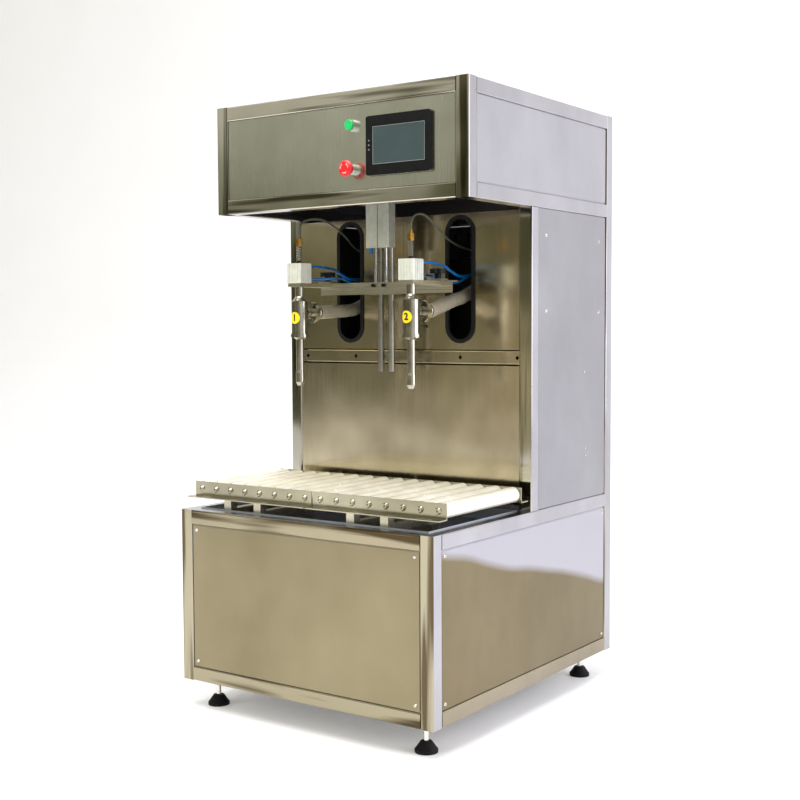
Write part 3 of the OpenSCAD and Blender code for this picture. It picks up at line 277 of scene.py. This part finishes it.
# where a node changes from one finish to another, in metres; at the sill and the lip only the painted tone of light
# changes
finishLines = {
    "postEdge": 0.0405,  # a corner post, with a little to spare
    "columnPost": 0.384,  # half the clear width between the column posts
    "sillTop": 0.16,  # top of the base's lower tubes
    "lipBottom": 0.53,  # the covers' folded top lip
    "footPad": 0.03,
    "blueFitting": 0.096,  # height above the crossbar up to which the lift's left side is its blue fitting
    "blueSide": -0.02,
    "endBlock": 0.0058,
    "airCube": 0.0561,  # height of the nozzle's square air cylinder
    "guardCore": 0.047,  # length of the black core in its spring guard, with brass above
    "cubeDepth": 0.0501,  # behind it are its black elbows
    "collars": 0.09,
}
frontwards, sideways = -0.35, 0.5  # a normal's Y or X past these faces the operator or a side


# true on a corner post of the frame between low and high
def inPost(centre, low, high):
    edge = finishLines["postEdge"]
    return abs(centre.x) > high.x - edge and (centre.y < low.y + edge or centre.y > high.y - edge)


# front for what faces the operator, other for the rest; the steel's painted warm reflection goes on the faces towards
# the operator
def facing(normal, front, other):
    return front if normal.y < frontwards else other


# the frames take painted reflection by facing: warm with painted dark streaks towards the operator, a painted pale
# tone on the other faces, and painted shade on the base's lower tubes
low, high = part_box("head_frame")
coat("head_frame", "tube", "post", "tubePale",
     choose=lambda c, n, low=low, high=high: facing(n, 1 if inPost(c, low, high) else 0, 2))
low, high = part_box("base_frame")
coat("base_frame", "tubeLow", "postLow", "tubePale", "tubeSill",
     choose=lambda c, n, low=low, high=high:
     facing(n, 1 if inPost(c, low, high) else 0, 3 if c.z < finishLines["sillTop"] else 2))
coat("column_frame", "post", "wall", "tubePale",
     choose=lambda c, n: facing(n, 1 if abs(c.x) < finishLines["columnPost"] else 0, 2))
# the base covers: painted warm reflection on the front, a painted floor reflection on the right side, a painted pale
# tone on the rest and a painted highlight on the top lip
coat("base_covers", "sheet", "sheetLow", "lip", "sheetPale",
     choose=lambda c, n: 2 if c.z > finishLines["lipBottom"] else
     0 if n.y < frontwards and c.y < 0 else 1 if n.x > sideways and c.x > 0 else 3)
# the head's front panel takes the sheet's painted olive reflection, its covers the painted pale tone
coat("head_front_panel", "headSheet")
coat("head_covers", "sheetPale")
# the column covers get painted shade on their inner faces
coat("column_covers", "sheetColumn", "dark",
     choose=lambda c, n: 1 if n.y < frontwards or c.x * n.x < 0 and abs(n.x) > sideways else 0)
coat("bay_panels", "wall")
coat("slot_edging", "rubber")
coat("levelling_feet", "rubber", "bright", choose=lambda c, n: 1 if c.z > finishLines["footPad"] else 0)
coat("guide_rods", "rodSatin")
for name in ("cover_screws", "lift_rods", "metering_piston_left", "metering_piston_right",
             "nozzle_plunger_left", "nozzle_plunger_right"):
    coat(name, "bright")
for name in ("weigh_supports", "metering_rack", "nozzle_bracket_left", "nozzle_bracket_right"):
    coat(name, "plate")
for name in ("metering_barrels", "metering_valves", "product_pipes"):
    coat(name, "turned")
for name in ("roller_deck_left", "roller_deck_right"):
    coat(name, "rail")
for name in list(nodes):
    if name.startswith("roller_") and "deck" not in name:
        coat(name, "roller")
crossLow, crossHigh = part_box("crossbar")
coat("lift_cylinder", "cylinder", "blueTube",
     choose=lambda c, n: 1 if c.x < finishLines["blueSide"] and c.z < crossHigh.z + finishLines["blueFitting"] else 0)
coat("drive_cylinders", "cylinder")
coat("air_manifold", "panelBlack")
coat("crossbar", "plate", "nylon", choose=lambda c, n: 1 if c.y < crossLow.y + finishLines["endBlock"] else 0)
for side in sides:
    low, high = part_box("nozzle_actuator_" + side)
    cubeTop, cubeBack = low.z + finishLines["airCube"], low.y + finishLines["cubeDepth"]
    coat("nozzle_actuator_" + side, "anodised", "brass", "nylon", "panelBlack",
         choose=lambda c, n, top=cubeTop, back=cubeBack:
         3 if c.y > back else 0 if c.z < top else 1 if c.z > top + finishLines["guardCore"] else 2)
    coat("nozzle_body_" + side, "turned")
    coat("filling_tube_" + side, "turned")
    coat("clamp_knob_" + side, "nylon")
# only the button collars stand proud of the panel to the left of the touch panel
coat("control_fittings", "panelBlack", "collar",
     choose=lambda c, n, face=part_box("head_front_panel")[0].y:
     1 if c.x < finishLines["collars"] and c.y < face + 0.001 else 0)
coat("start_button", "green")
coat("emergency_stop", "red")
for name in ("product_hose_left", "product_hose_right"):
    coat(name, "hose")
coat("air_lines", "blueTube")
print("stage: materials")


def objectFrom(mesh, name, key, smooth=True):
    data = bpy.data.meshes.new(name)
    bmesh.ops.recalc_face_normals(mesh, faces=mesh.faces)
    mesh.to_mesh(data)
    mesh.free()
    data.materials.append(materials[key])
    for face in data.polygons:
        face.use_smooth = smooth
    made = bpy.data.objects.new(name, data)
    bpy.context.scene.collection.objects.link(made)
    return made


# extrudes the edges once; gives the new vertices and the edges between them
def extrudeOnce(mesh, edges):
    made = bmesh.ops.extrude_edge_only(mesh, edges=edges)["geom"]
    return ([item for item in made if isinstance(item, bmesh.types.BMVert)],
            [item for item in made if isinstance(item, bmesh.types.BMEdge)
             and all(vert in made for vert in item.verts)])


# Catmull-Rom curve through the points
def smoothPath(points, steps):
    path = []
    last = len(points) - 1
    for i in range(last):
        a, b, c, d = (points[max(i - 1, 0)], points[i], points[i + 1], points[min(i + 2, last)])
        for k in range(steps):
            t = k / steps
            path.append(0.5 * (2 * b + (c - a) * t + (2 * a - 5 * b + 4 * c - d) * t * t
                               + (3 * b - a - 3 * c + d) * t ** 3))
    path.append(points[last])
    return path


# a closed round tube: one circle, extruded and turned along the path
def sweepTube(mesh, path, radius, sidesCount):
    places = []
    up = Vector((1, 0, 0))
    for i, point in enumerate(path):
        ahead = (path[min(i + 1, len(path) - 1)] - path[max(i - 1, 0)]).normalized()
        across = up.cross(ahead).normalized()
        up = ahead.cross(across)
        places.append(Matrix.Translation(point) @ Matrix((across, up, ahead)).transposed().to_4x4())
    bmesh.ops.create_circle(mesh, cap_ends=True, radius=radius, segments=sidesCount, matrix=places[0])
    edges = mesh.edges[:]
    for before, after in zip(places, places[1:]):
        verts, edges = extrudeOnce(mesh, edges)
        bmesh.ops.transform(mesh, matrix=after @ before.inverted(), verts=verts)
    bmesh.ops.contextual_create(mesh, geom=edges)


def boxInto(mesh, low, high):
    low, high = Vector(low), Vector(high)
    bmesh.ops.create_cube(mesh, size=1.0, matrix=Matrix.Translation((low + high) / 2)
                          @ Matrix.Diagonal((high - low).to_4d()))


# each line from its nozzle backwards, in millimetres: outwards from the centre, to the rear, up
routes = {
    "hose_left": [(0, 0, 0), (0, 40, 2), (0, 85, 4), (0, 130, 6), (0, 180, 12), (0, 240, 36), (1, 286, 74),
                  (2, 316, 88), (2, 338, 88)],
    "hose_right": [(0, 0, 0), (0, 40, 8), (0, 85, 20), (0, 130, 32), (0, 180, 42), (0, 240, 62), (1, 286, 80),
                   (2, 316, 88), (2, 338, 88)],
    "grey_left": [(0, 0, 0), (0, 3, 22), (1, 18, 37), (4, 48, 46), (8, 85, 51), (12, 125, 50), (18, 180, 37),
                  (25, 243, 12), (28, 300, -22), (26, 350, -38)],
    "grey_right": [(0, 0, 0), (0, 4, 20), (-2, 22, 36), (-6, 55, 43), (-12, 90, 40), (-18, 130, 27), (-26, 190, 0),
                   (-30, 243, -20), (-30, 300, -34), (-28, 350, -40)],
    "blue": [(0, 0, 0), (0, 45, 2), (0, 115, -3), (0, 152, -16), (0, 200, -30), (0, 260, -24), (0, 310, 0),
             (0, 350, 30)],
    "low": [(0, 0, 0), (-2, 14, 0), (-12, 36, 1), (-32, 78, 4), (-34, 115, 4), (-25, 155, -3), (-14, 205, -12),
            (-4, 260, 8), (0, 320, 30), (0, 350, 40)],
}
# what each line is made of; radii in metres
lineSpecs = {
    "hose": {"radius": 0.019, "sides": 28, "material": "hose", "slot": "clear_hose"},
    "grey": {"radius": 0.003, "sides": 10, "material": "greyTube", "slot": "blue_tube"},
    "blue": {"radius": 0.004, "sides": 12, "material": "blueTube", "slot": "blue_tube"},
    "low": {"radius": 0.004, "sides": 12, "material": "blueTube", "slot": "blue_tube"},
}
# where the lines leave each nozzle, and depths along the lines; metres
ports = {"hoseHeight": 0.02525, "hoseBehind": 0.0814, "greyAbove": 0.0009, "elbowBehind": 0.038,
         "blueHeight": 0.048, "lowHeight": 0.012, "pathSteps": 8}
bends = {"afterPort": 0.03, "afterKnob": 0.002, "splitY": -0.042, "splitGap": 0.002, "rearY": 0.07, "height": 1.2}
# crimped sleeve and ferrule at the nozzle end of the hose, as radius and distance from the ferrule's face
hoseSleeve = {
    "behind": 0.050, "steps": 40,
    "profile": [(0.0251, 0.0003), (0.0252, 0.0030), (0.0225, 0.0066), (0.0205, 0.0085), (0.0205, 0.0120),
                (0.0196, 0.0128), (0.0196, 0.0142), (0.0205, 0.0150), (0.0205, 0.0192), (0.0196, 0.0200),
                (0.0196, 0.0214), (0.0205, 0.0222), (0.0205, 0.0300), (0.0192, 0.0310)],
}


def lineThrough(key, side, start):
    points = routes.get(key) or routes[f"{key}_{side}"]
    return [Vector(start) + Vector((sides[side] * x, y, z)) / 1000 for x, y, z in points]


# the path in front of splitY and the path behind it, sharing a point
def cutAt(path, splitY):
    front = [point for point in path if point.y <= splitY]
    return front, front[-1:] + [point for point in path if point.y > splitY]


for side in sides:
    actuatorLow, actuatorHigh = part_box("nozzle_actuator_" + side)
    tubeLow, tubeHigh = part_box("filling_tube_" + side)
    centreX, centreY = (tubeLow.x + tubeHigh.x) / 2, (tubeLow.y + tubeHigh.y) / 2
    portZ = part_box("product_hose_" + side)[0].z + ports["hoseHeight"]
    starts = {
        "hose": (centreX, centreY + ports["hoseBehind"], portZ),
        "grey": (centreX, centreY, actuatorHigh.z + ports["greyAbove"]),
        "blue": (centreX, centreY + ports["elbowBehind"], actuatorLow.z + ports["blueHeight"]),
        "low": (centreX, centreY + ports["elbowBehind"], actuatorLow.z + ports["lowHeight"]),
    }
    splitY, height = bends["splitY"], bends["height"]
    for key, spec in lineSpecs.items():
        path = smoothPath(lineThrough(key, side, starts[key]), ports["pathSteps"])
        # each line is cut in two at splitY, past the clamp knob, into a front part and a rear part
        for part, points in zip(("front", "rear"), cutAt(path, splitY)):
            mesh = bmesh.new()
            sweepTube(mesh, points, spec["radius"], spec["sides"])
            piece = objectFrom(mesh, f"{key}_line_{side}_{part}", spec["material"])
            if part == "front":
                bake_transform(piece)
            else:
                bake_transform(piece)
            if key == "hose" and part == "front":
                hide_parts("product_hose_" + side)
            if key == "grey" and part == "front" and side == "left":
                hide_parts("air_lines")
    mesh = bmesh.new()
    verts = [mesh.verts.new((centreX + radius, centreY + hoseSleeve["behind"] + along, portZ))
             for radius, along in hoseSleeve["profile"]]
    edges = [mesh.edges.new(pair) for pair in zip(verts, verts[1:])]
    bmesh.ops.spin(mesh, geom=verts + edges, cent=(centreX, centreY, portZ), axis=(0, 1, 0), angle=2 * math.pi,
                   steps=hoseSleeve["steps"], use_merge=True)
    sleeve = objectFrom(mesh, f"hose_sleeve_{side}", "turned")
    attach(sleeve, "nozzle_" + side)
print("stage: hoses and air lines")


# wraps a flat drawing in X and Z round the nozzle body's front
def bentOnBody(mesh, centreX, centreY, centreZ, radius):
    for vert in mesh.verts:
        turn = vert.co.x / radius
        out = radius + vert.co.y
        vert.co = Vector((centreX + out * math.sin(turn), centreY - out * math.cos(turn), centreZ + vert.co.z))


# upright digit as a flat mesh, fine enough to bend
def digitMesh(text, size, boldness):
    curve = bpy.data.curves.new("digit", "FONT")
    curve.body = text
    curve.size = size
    curve.offset = size * boldness
    curve.align_x = "CENTER"
    curve.align_y = "CENTER"
    holder = bpy.data.objects.new("digit", curve)
    bpy.context.scene.collection.objects.link(holder)
    bpy.context.view_layer.update()
    data = bpy.data.meshes.new_from_object(holder)
    mesh = bmesh.new()
    mesh.from_mesh(data)
    bpy.data.objects.remove(holder)
    bmesh.ops.triangulate(mesh, faces=mesh.faces)
    bmesh.ops.subdivide_edges(mesh, edges=mesh.edges, cuts=2, use_grid_fill=True)
    for vert in mesh.verts:
        vert.co = Vector((vert.co.x, 0.0, vert.co.y))
    return mesh


numberDisc = {"left": "1", "right": "2", "bodyRadius": 0.023, "aboveFlange": 0.045, "discGap": 0.0004,
              "rings": (0.002, 0.005, 0.008, 0.011, 0.014, 0.0165), "segments": 48,
              "digitGap": 0.0008, "digitSize": 0.026, "boldness": 0.042}
# spring guard round the air tube's fitting; heights over the actuator's foot
springGuard = {"turns": 9, "perTurn": 16, "radius": 0.0066, "wire": 0.0011, "wireSides": 6,
               "bottom": 0.0615, "top": 0.1035}
for side in sides:
    tubeLow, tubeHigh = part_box("filling_tube_" + side)
    centreX, centreY = (tubeLow.x + tubeHigh.x) / 2, (tubeLow.y + tubeHigh.y) / 2
    discZ = tubeHigh.z + numberDisc["aboveFlange"]
    rings = numberDisc["rings"]
    mesh = bmesh.new()
    bmesh.ops.create_circle(mesh, cap_ends=True, radius=rings[0], segments=numberDisc["segments"],
                            matrix=Matrix.Rotation(math.radians(90), 4, "X"))
    edges = mesh.edges[:]
    for inner, outer in zip(rings, rings[1:]):
        verts, edges = extrudeOnce(mesh, edges)
        bmesh.ops.scale(mesh, vec=Vector((1, 1, 1)) * outer / inner, verts=verts)
    bentOnBody(mesh, centreX, centreY, discZ, numberDisc["bodyRadius"] + numberDisc["discGap"])
    disc = objectFrom(mesh, f"number_disc_{side}", "yellow")
    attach(disc, "nozzle_" + side)
    mesh = digitMesh(numberDisc[side], numberDisc["digitSize"], numberDisc["boldness"])
    bentOnBody(mesh, centreX, centreY, discZ, numberDisc["bodyRadius"] + numberDisc["digitGap"])
    mark = objectFrom(mesh, f"number_mark_{side}", "ink")
    # an open sheet can come out facing either way, and this one faces the operator
    if mark.data.polygons[0].normal.y > 0:
        mark.data.flip_normals()
    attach(mark, "nozzle_" + side)
    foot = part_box("nozzle_actuator_" + side)[0].z
    steps = springGuard["turns"] * springGuard["perTurn"]
    rise = springGuard["top"] - springGuard["bottom"]
    path = []
    for i in range(steps + 1):
        a = 2 * math.pi * i / springGuard["perTurn"]
        path.append(Vector((centreX + springGuard["radius"] * math.cos(a),
                            centreY + springGuard["radius"] * math.sin(a),
                            foot + springGuard["bottom"] + rise * i / steps)))
    mesh = bmesh.new()
    sweepTube(mesh, path, springGuard["wire"], springGuard["wireSides"])
    spring = objectFrom(mesh, f"spring_guard_{side}", "turned")
    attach(spring, "nozzle_" + side)
print("stage: discs and springs")


panelLow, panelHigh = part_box("head_front_panel")
touchPanel = {"x": 0.213, "z": (panelLow.z + panelHigh.z) / 2 - 0.001, "width": 0.205, "thickness": 0.009,
              "leftMargin": 0.0222, "rightMargin": 0.0192, "halfScreen": 0.0488, "line": 0.0009,
              "screenDepths": (0.0008, 0.0019), "borderDepths": (0.0004, 0.0007), "lampDepths": (-0.0004, 0.0004),
              "lamps": 3, "topLamp": 0.012, "lampPitch": 0.012, "lampLeft": 0.0137, "lampSize": 0.003}
faceY = panelLow.y - touchPanel["thickness"]
left = touchPanel["x"] - touchPanel["width"] / 2 + touchPanel["leftMargin"]
right = touchPanel["x"] + touchPanel["width"] / 2 - touchPanel["rightMargin"]
bottom, top = touchPanel["z"] - touchPanel["halfScreen"], touchPanel["z"] + touchPanel["halfScreen"]


# boxes on the touch panel, as left, bottom, right and top, between two depths behind its face
def panelPiece(name, key, outlines, depths):
    mesh = bmesh.new()
    for x0, z0, x1, z1 in outlines:
        boxInto(mesh, (x0, faceY + depths[0], z0), (x1, faceY + depths[1], z1))
    piece = objectFrom(mesh, name, key, False)
    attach(piece, "stand")


panelPiece("touch_screen", "screen", [(left, bottom, right, top)], touchPanel["screenDepths"])
# pale line round the screen
line = touchPanel["line"]
panelPiece("screen_border", "rim",
           [(left, bottom, right, bottom + line), (left, top - line, right, top),
            (left, bottom + line, left + line, top - line), (right - line, bottom + line, right, top - line)],
           touchPanel["borderDepths"])
lampLeft, lampSize = left - touchPanel["lampLeft"], touchPanel["lampSize"]
lampBottoms = [touchPanel["z"] + touchPanel["topLamp"] - touchPanel["lampPitch"] * k
               for k in range(touchPanel["lamps"])]
panelPiece("panel_lamps", "rim", [(lampLeft, z, lampLeft + lampSize, z + lampSize) for z in lampBottoms],
           touchPanel["lampDepths"])

# pale turning arrows on the mushroom head, each an arc of short steps with its last ones widened to a head
stopArrows = {"count": 3, "radius": 0.0125, "halfWidth": 0.0011, "headWidth": 0.0016, "steps": 8, "headSteps": 2,
              "stepAngle": math.radians(8), "gap": 0.0004}
stopLow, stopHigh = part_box("emergency_stop")
stopCentre = Vector(((stopLow.x + stopHigh.x) / 2, stopLow.y - stopArrows["gap"], (stopLow.z + stopHigh.z) / 2))
mesh = bmesh.new()
for number in range(stopArrows["count"]):
    aim = Matrix.Rotation(-2 * math.pi * number / stopArrows["count"], 4, "Y") @ Vector((1, 0, 0))
    verts = [mesh.verts.new(stopCentre + aim * (stopArrows["radius"] + way * stopArrows["halfWidth"]))
             for way in (-1, 1)]
    edges = [mesh.edges.new(verts)]
    for k in range(1, stopArrows["steps"] + 1):
        verts, edges = extrudeOnce(mesh, edges)
        bmesh.ops.rotate(mesh, cent=stopCentre, matrix=Matrix.Rotation(-stopArrows["stepAngle"], 3, "Y"), verts=verts)
        toTip = (stopArrows["steps"] - k) / stopArrows["headSteps"]
        wider = stopArrows["headWidth"] * toTip if toTip <= 1 else 0
        for vert in verts:
            offset = vert.co - stopCentre
            way = 1 if offset.length > stopArrows["radius"] else -1
            offset.length = stopArrows["radius"] + way * (stopArrows["halfWidth"] + wider)
            vert.co = stopCentre + offset
marks = objectFrom(mesh, "stop_marks", "white", False)
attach(marks, "emergency_stop")
print("stage: operator panel")


# pale floor that rises behind the machine in a curve; metres
studioFloor = {"halfWidth": 9.0, "front": -7.0, "rear": 2.6, "curve": 1.4, "curveSteps": 10, "top": 6.0, "glow": 0.13}
floorMaterial = mottled("floor_pale", "#f4f4f5", "#f1f1f2", 0.60, 0.70, 500)
floorShader = floorMaterial.node_tree.nodes["Principled BSDF"]
floorShader.inputs["Emission Color"].default_value = toLinear("#ffffff")
floorShader.inputs["Emission Strength"].default_value = studioFloor["glow"]
curve, turnStep = studioFloor["curve"], math.radians(90) / studioFloor["curveSteps"]
profile = [(studioFloor["front"], 0.0), (studioFloor["rear"], 0.0)]
for k in range(1, studioFloor["curveSteps"] + 1):
    profile.append((studioFloor["rear"] + curve * math.sin(turnStep * k), curve - curve * math.cos(turnStep * k)))
profile.append((studioFloor["rear"] + curve, studioFloor["top"]))
mesh = bmesh.new()
verts = [mesh.verts.new((studioFloor["halfWidth"], y, z)) for y, z in profile]
edges = [mesh.edges.new(pair) for pair in zip(verts, verts[1:])]
verts = extrudeOnce(mesh, edges)[0]
bmesh.ops.translate(mesh, vec=(-2 * studioFloor["halfWidth"], 0, 0), verts=verts)
data = bpy.data.meshes.new("studio_floor")
mesh.to_mesh(data)
mesh.free()
data.materials.append(floorMaterial)
floor = bpy.data.objects.new("studio_floor", data)
bpy.context.scene.collection.objects.link(floor)

# the room that the steel mirrors: warm and patterned towards the operator's left, plain and pale elsewhere
room = {
    "tones": ((0.0, "#c6bda6"), (0.27, "#b3a98c"), (0.35, "#4b4a36"), (0.47, "#6b6c52"), (0.58, "#deddd2"),
              (1.0, "#f7f6f0")),  # from the floor up
    "lowest": -0.30, "highest": 0.60, "patches": (4.0, 4.0, 1.2), "unevenness": 0.10,
    "towards": (-0.57, -0.82, 0.0), "plainBelow": -0.1, "warmAbove": 0.5, "plain": "#eeeef6", "backdrop": "#f7f7f6",
}
world = bpy.data.worlds.new("studio")
bpy.context.scene.world = world
bpy.context.scene.view_settings.view_transform = "Standard"
world.use_nodes = True
tree = world.node_tree
background = tree.nodes["Background"]
coords = addNode(tree, "ShaderNodeTexCoord")
direction = coords.outputs["Generated"]
parts = addNode(tree, "ShaderNodeSeparateXYZ", links={"Vector": direction})
stretched = addNode(tree, "ShaderNodeMapping", inputs={"Scale": room["patches"]}, links={"Vector": direction})
noise = addNode(tree, "ShaderNodeTexNoise", inputs={"Scale": 1.0, "Detail": 3.0, "Roughness": 0.55},
                links={"Vector": stretched.outputs["Vector"]})
shift = addNode(tree, "ShaderNodeMapRange", links={"Value": noise.outputs["Fac"]},
                inputs={**patternSpread, "To Min": -room["unevenness"], "To Max": room["unevenness"]})
uneven = addNode(tree, "ShaderNodeMath", {"operation": "ADD"},
                 links={0: parts.outputs["Z"], 1: shift.outputs["Result"]})
level = addNode(tree, "ShaderNodeMapRange", inputs={"From Min": room["lowest"], "From Max": room["highest"]},
                links={"Value": uneven.outputs["Value"]})
sky = addNode(tree, "ShaderNodeValToRGB", links={"Fac": level.outputs["Result"]})
sky.color_ramp.elements[0].color = toLinear(room["tones"][0][1])
sky.color_ramp.elements[1].color = toLinear(room["tones"][-1][1])
for position, colour in room["tones"][1:-1]:
    sky.color_ramp.elements.new(position).color = toLinear(colour)
towards = addNode(tree, "ShaderNodeVectorMath", {"operation": "DOT_PRODUCT"}, {1: room["towards"]}, {0: direction})
share = addNode(tree, "ShaderNodeMapRange", inputs={"From Min": room["plainBelow"], "From Max": room["warmAbove"]},
                links={"Value": towards.outputs["Value"]})
mixed = addNode(tree, "ShaderNodeMix", {"data_type": "RGBA"}, {6: toLinear(room["plain"])},
                {0: share.outputs["Result"], 7: sky.outputs["Color"]})
# seen directly, it is plain and pale
rays = addNode(tree, "ShaderNodeLightPath")
seen = addNode(tree, "ShaderNodeMix", {"data_type": "RGBA"}, {7: toLinear(room["backdrop"])},
               {0: rays.outputs["Is Camera Ray"], 6: mixed.outputs[2]})
tree.links.new(seen.outputs[2], background.inputs["Color"])
background.inputs["Strength"].default_value = 1.0

# soft boxes; the front one would show as a bright square in the steel, so it casts no highlight
lights = {
    "light_above": {"place": (0.3, -1.2, 4.2), "target": (0, 0, 0.8), "size": (3.0, 3.0), "power": 170,
                    "colour": "#fffdf8", "glossy": True},
    "light_right": {"place": (4.2, 1.2, 2.0), "target": (0, 0, 0.9), "size": (3.0, 3.0), "power": 110,
                    "colour": "#f3f2ff", "glossy": True},
    "light_front": {"place": (-2.2, -4.2, 1.9), "target": (0, 0, 0.8), "size": (2.4, 2.6), "power": 70,
                    "colour": "#fffaf0", "glossy": False},
}
for name, spec in lights.items():
    light = bpy.data.lights.new(name, "AREA")
    light.shape = "RECTANGLE"
    light.size, light.size_y = spec["size"]
    light.energy = spec["power"]
    light.color = toLinear(spec["colour"])[:3]
    holder = bpy.data.objects.new(name, light)
    bpy.context.scene.collection.objects.link(holder)
    holder.location = spec["place"]
    holder.visible_glossy = spec["glossy"]
    aim = Vector(spec["target"]) - Vector(spec["place"])
    holder.rotation_euler = aim.to_track_quat("-Z", "Y").to_euler()

# the operator's right, at chest height; angles in degrees
shot = {"place": (2.0916, -2.9897, 1.0713), "yaw": 35.19, "pitch": -3.38, "roll": -0.26, "lens": 56.36, "sensor": 36}
yaw, pitch, roll = (math.radians(shot[key]) for key in ("yaw", "pitch", "roll"))
forward = Vector((-math.sin(yaw) * math.cos(pitch), math.cos(yaw) * math.cos(pitch), math.sin(pitch)))
levelRight = Vector((math.cos(yaw), math.sin(yaw), 0))
levelUp = levelRight.cross(forward)
cameraRight = levelRight * math.cos(roll) + levelUp * math.sin(roll)
cameraUp = cameraRight.cross(forward)
cameraData = bpy.data.cameras.new("camera")
cameraData.sensor_width = shot["sensor"]
cameraData.lens = shot["lens"]
camera = bpy.data.objects.new("camera", cameraData)
bpy.context.scene.collection.objects.link(camera)
turn = Matrix((cameraRight, cameraUp, -forward)).transposed().to_4x4()
camera.matrix_world = Matrix.Translation(shot["place"]) @ turn
bpy.context.scene.camera = camera
print("stage: floor, lights and camera")
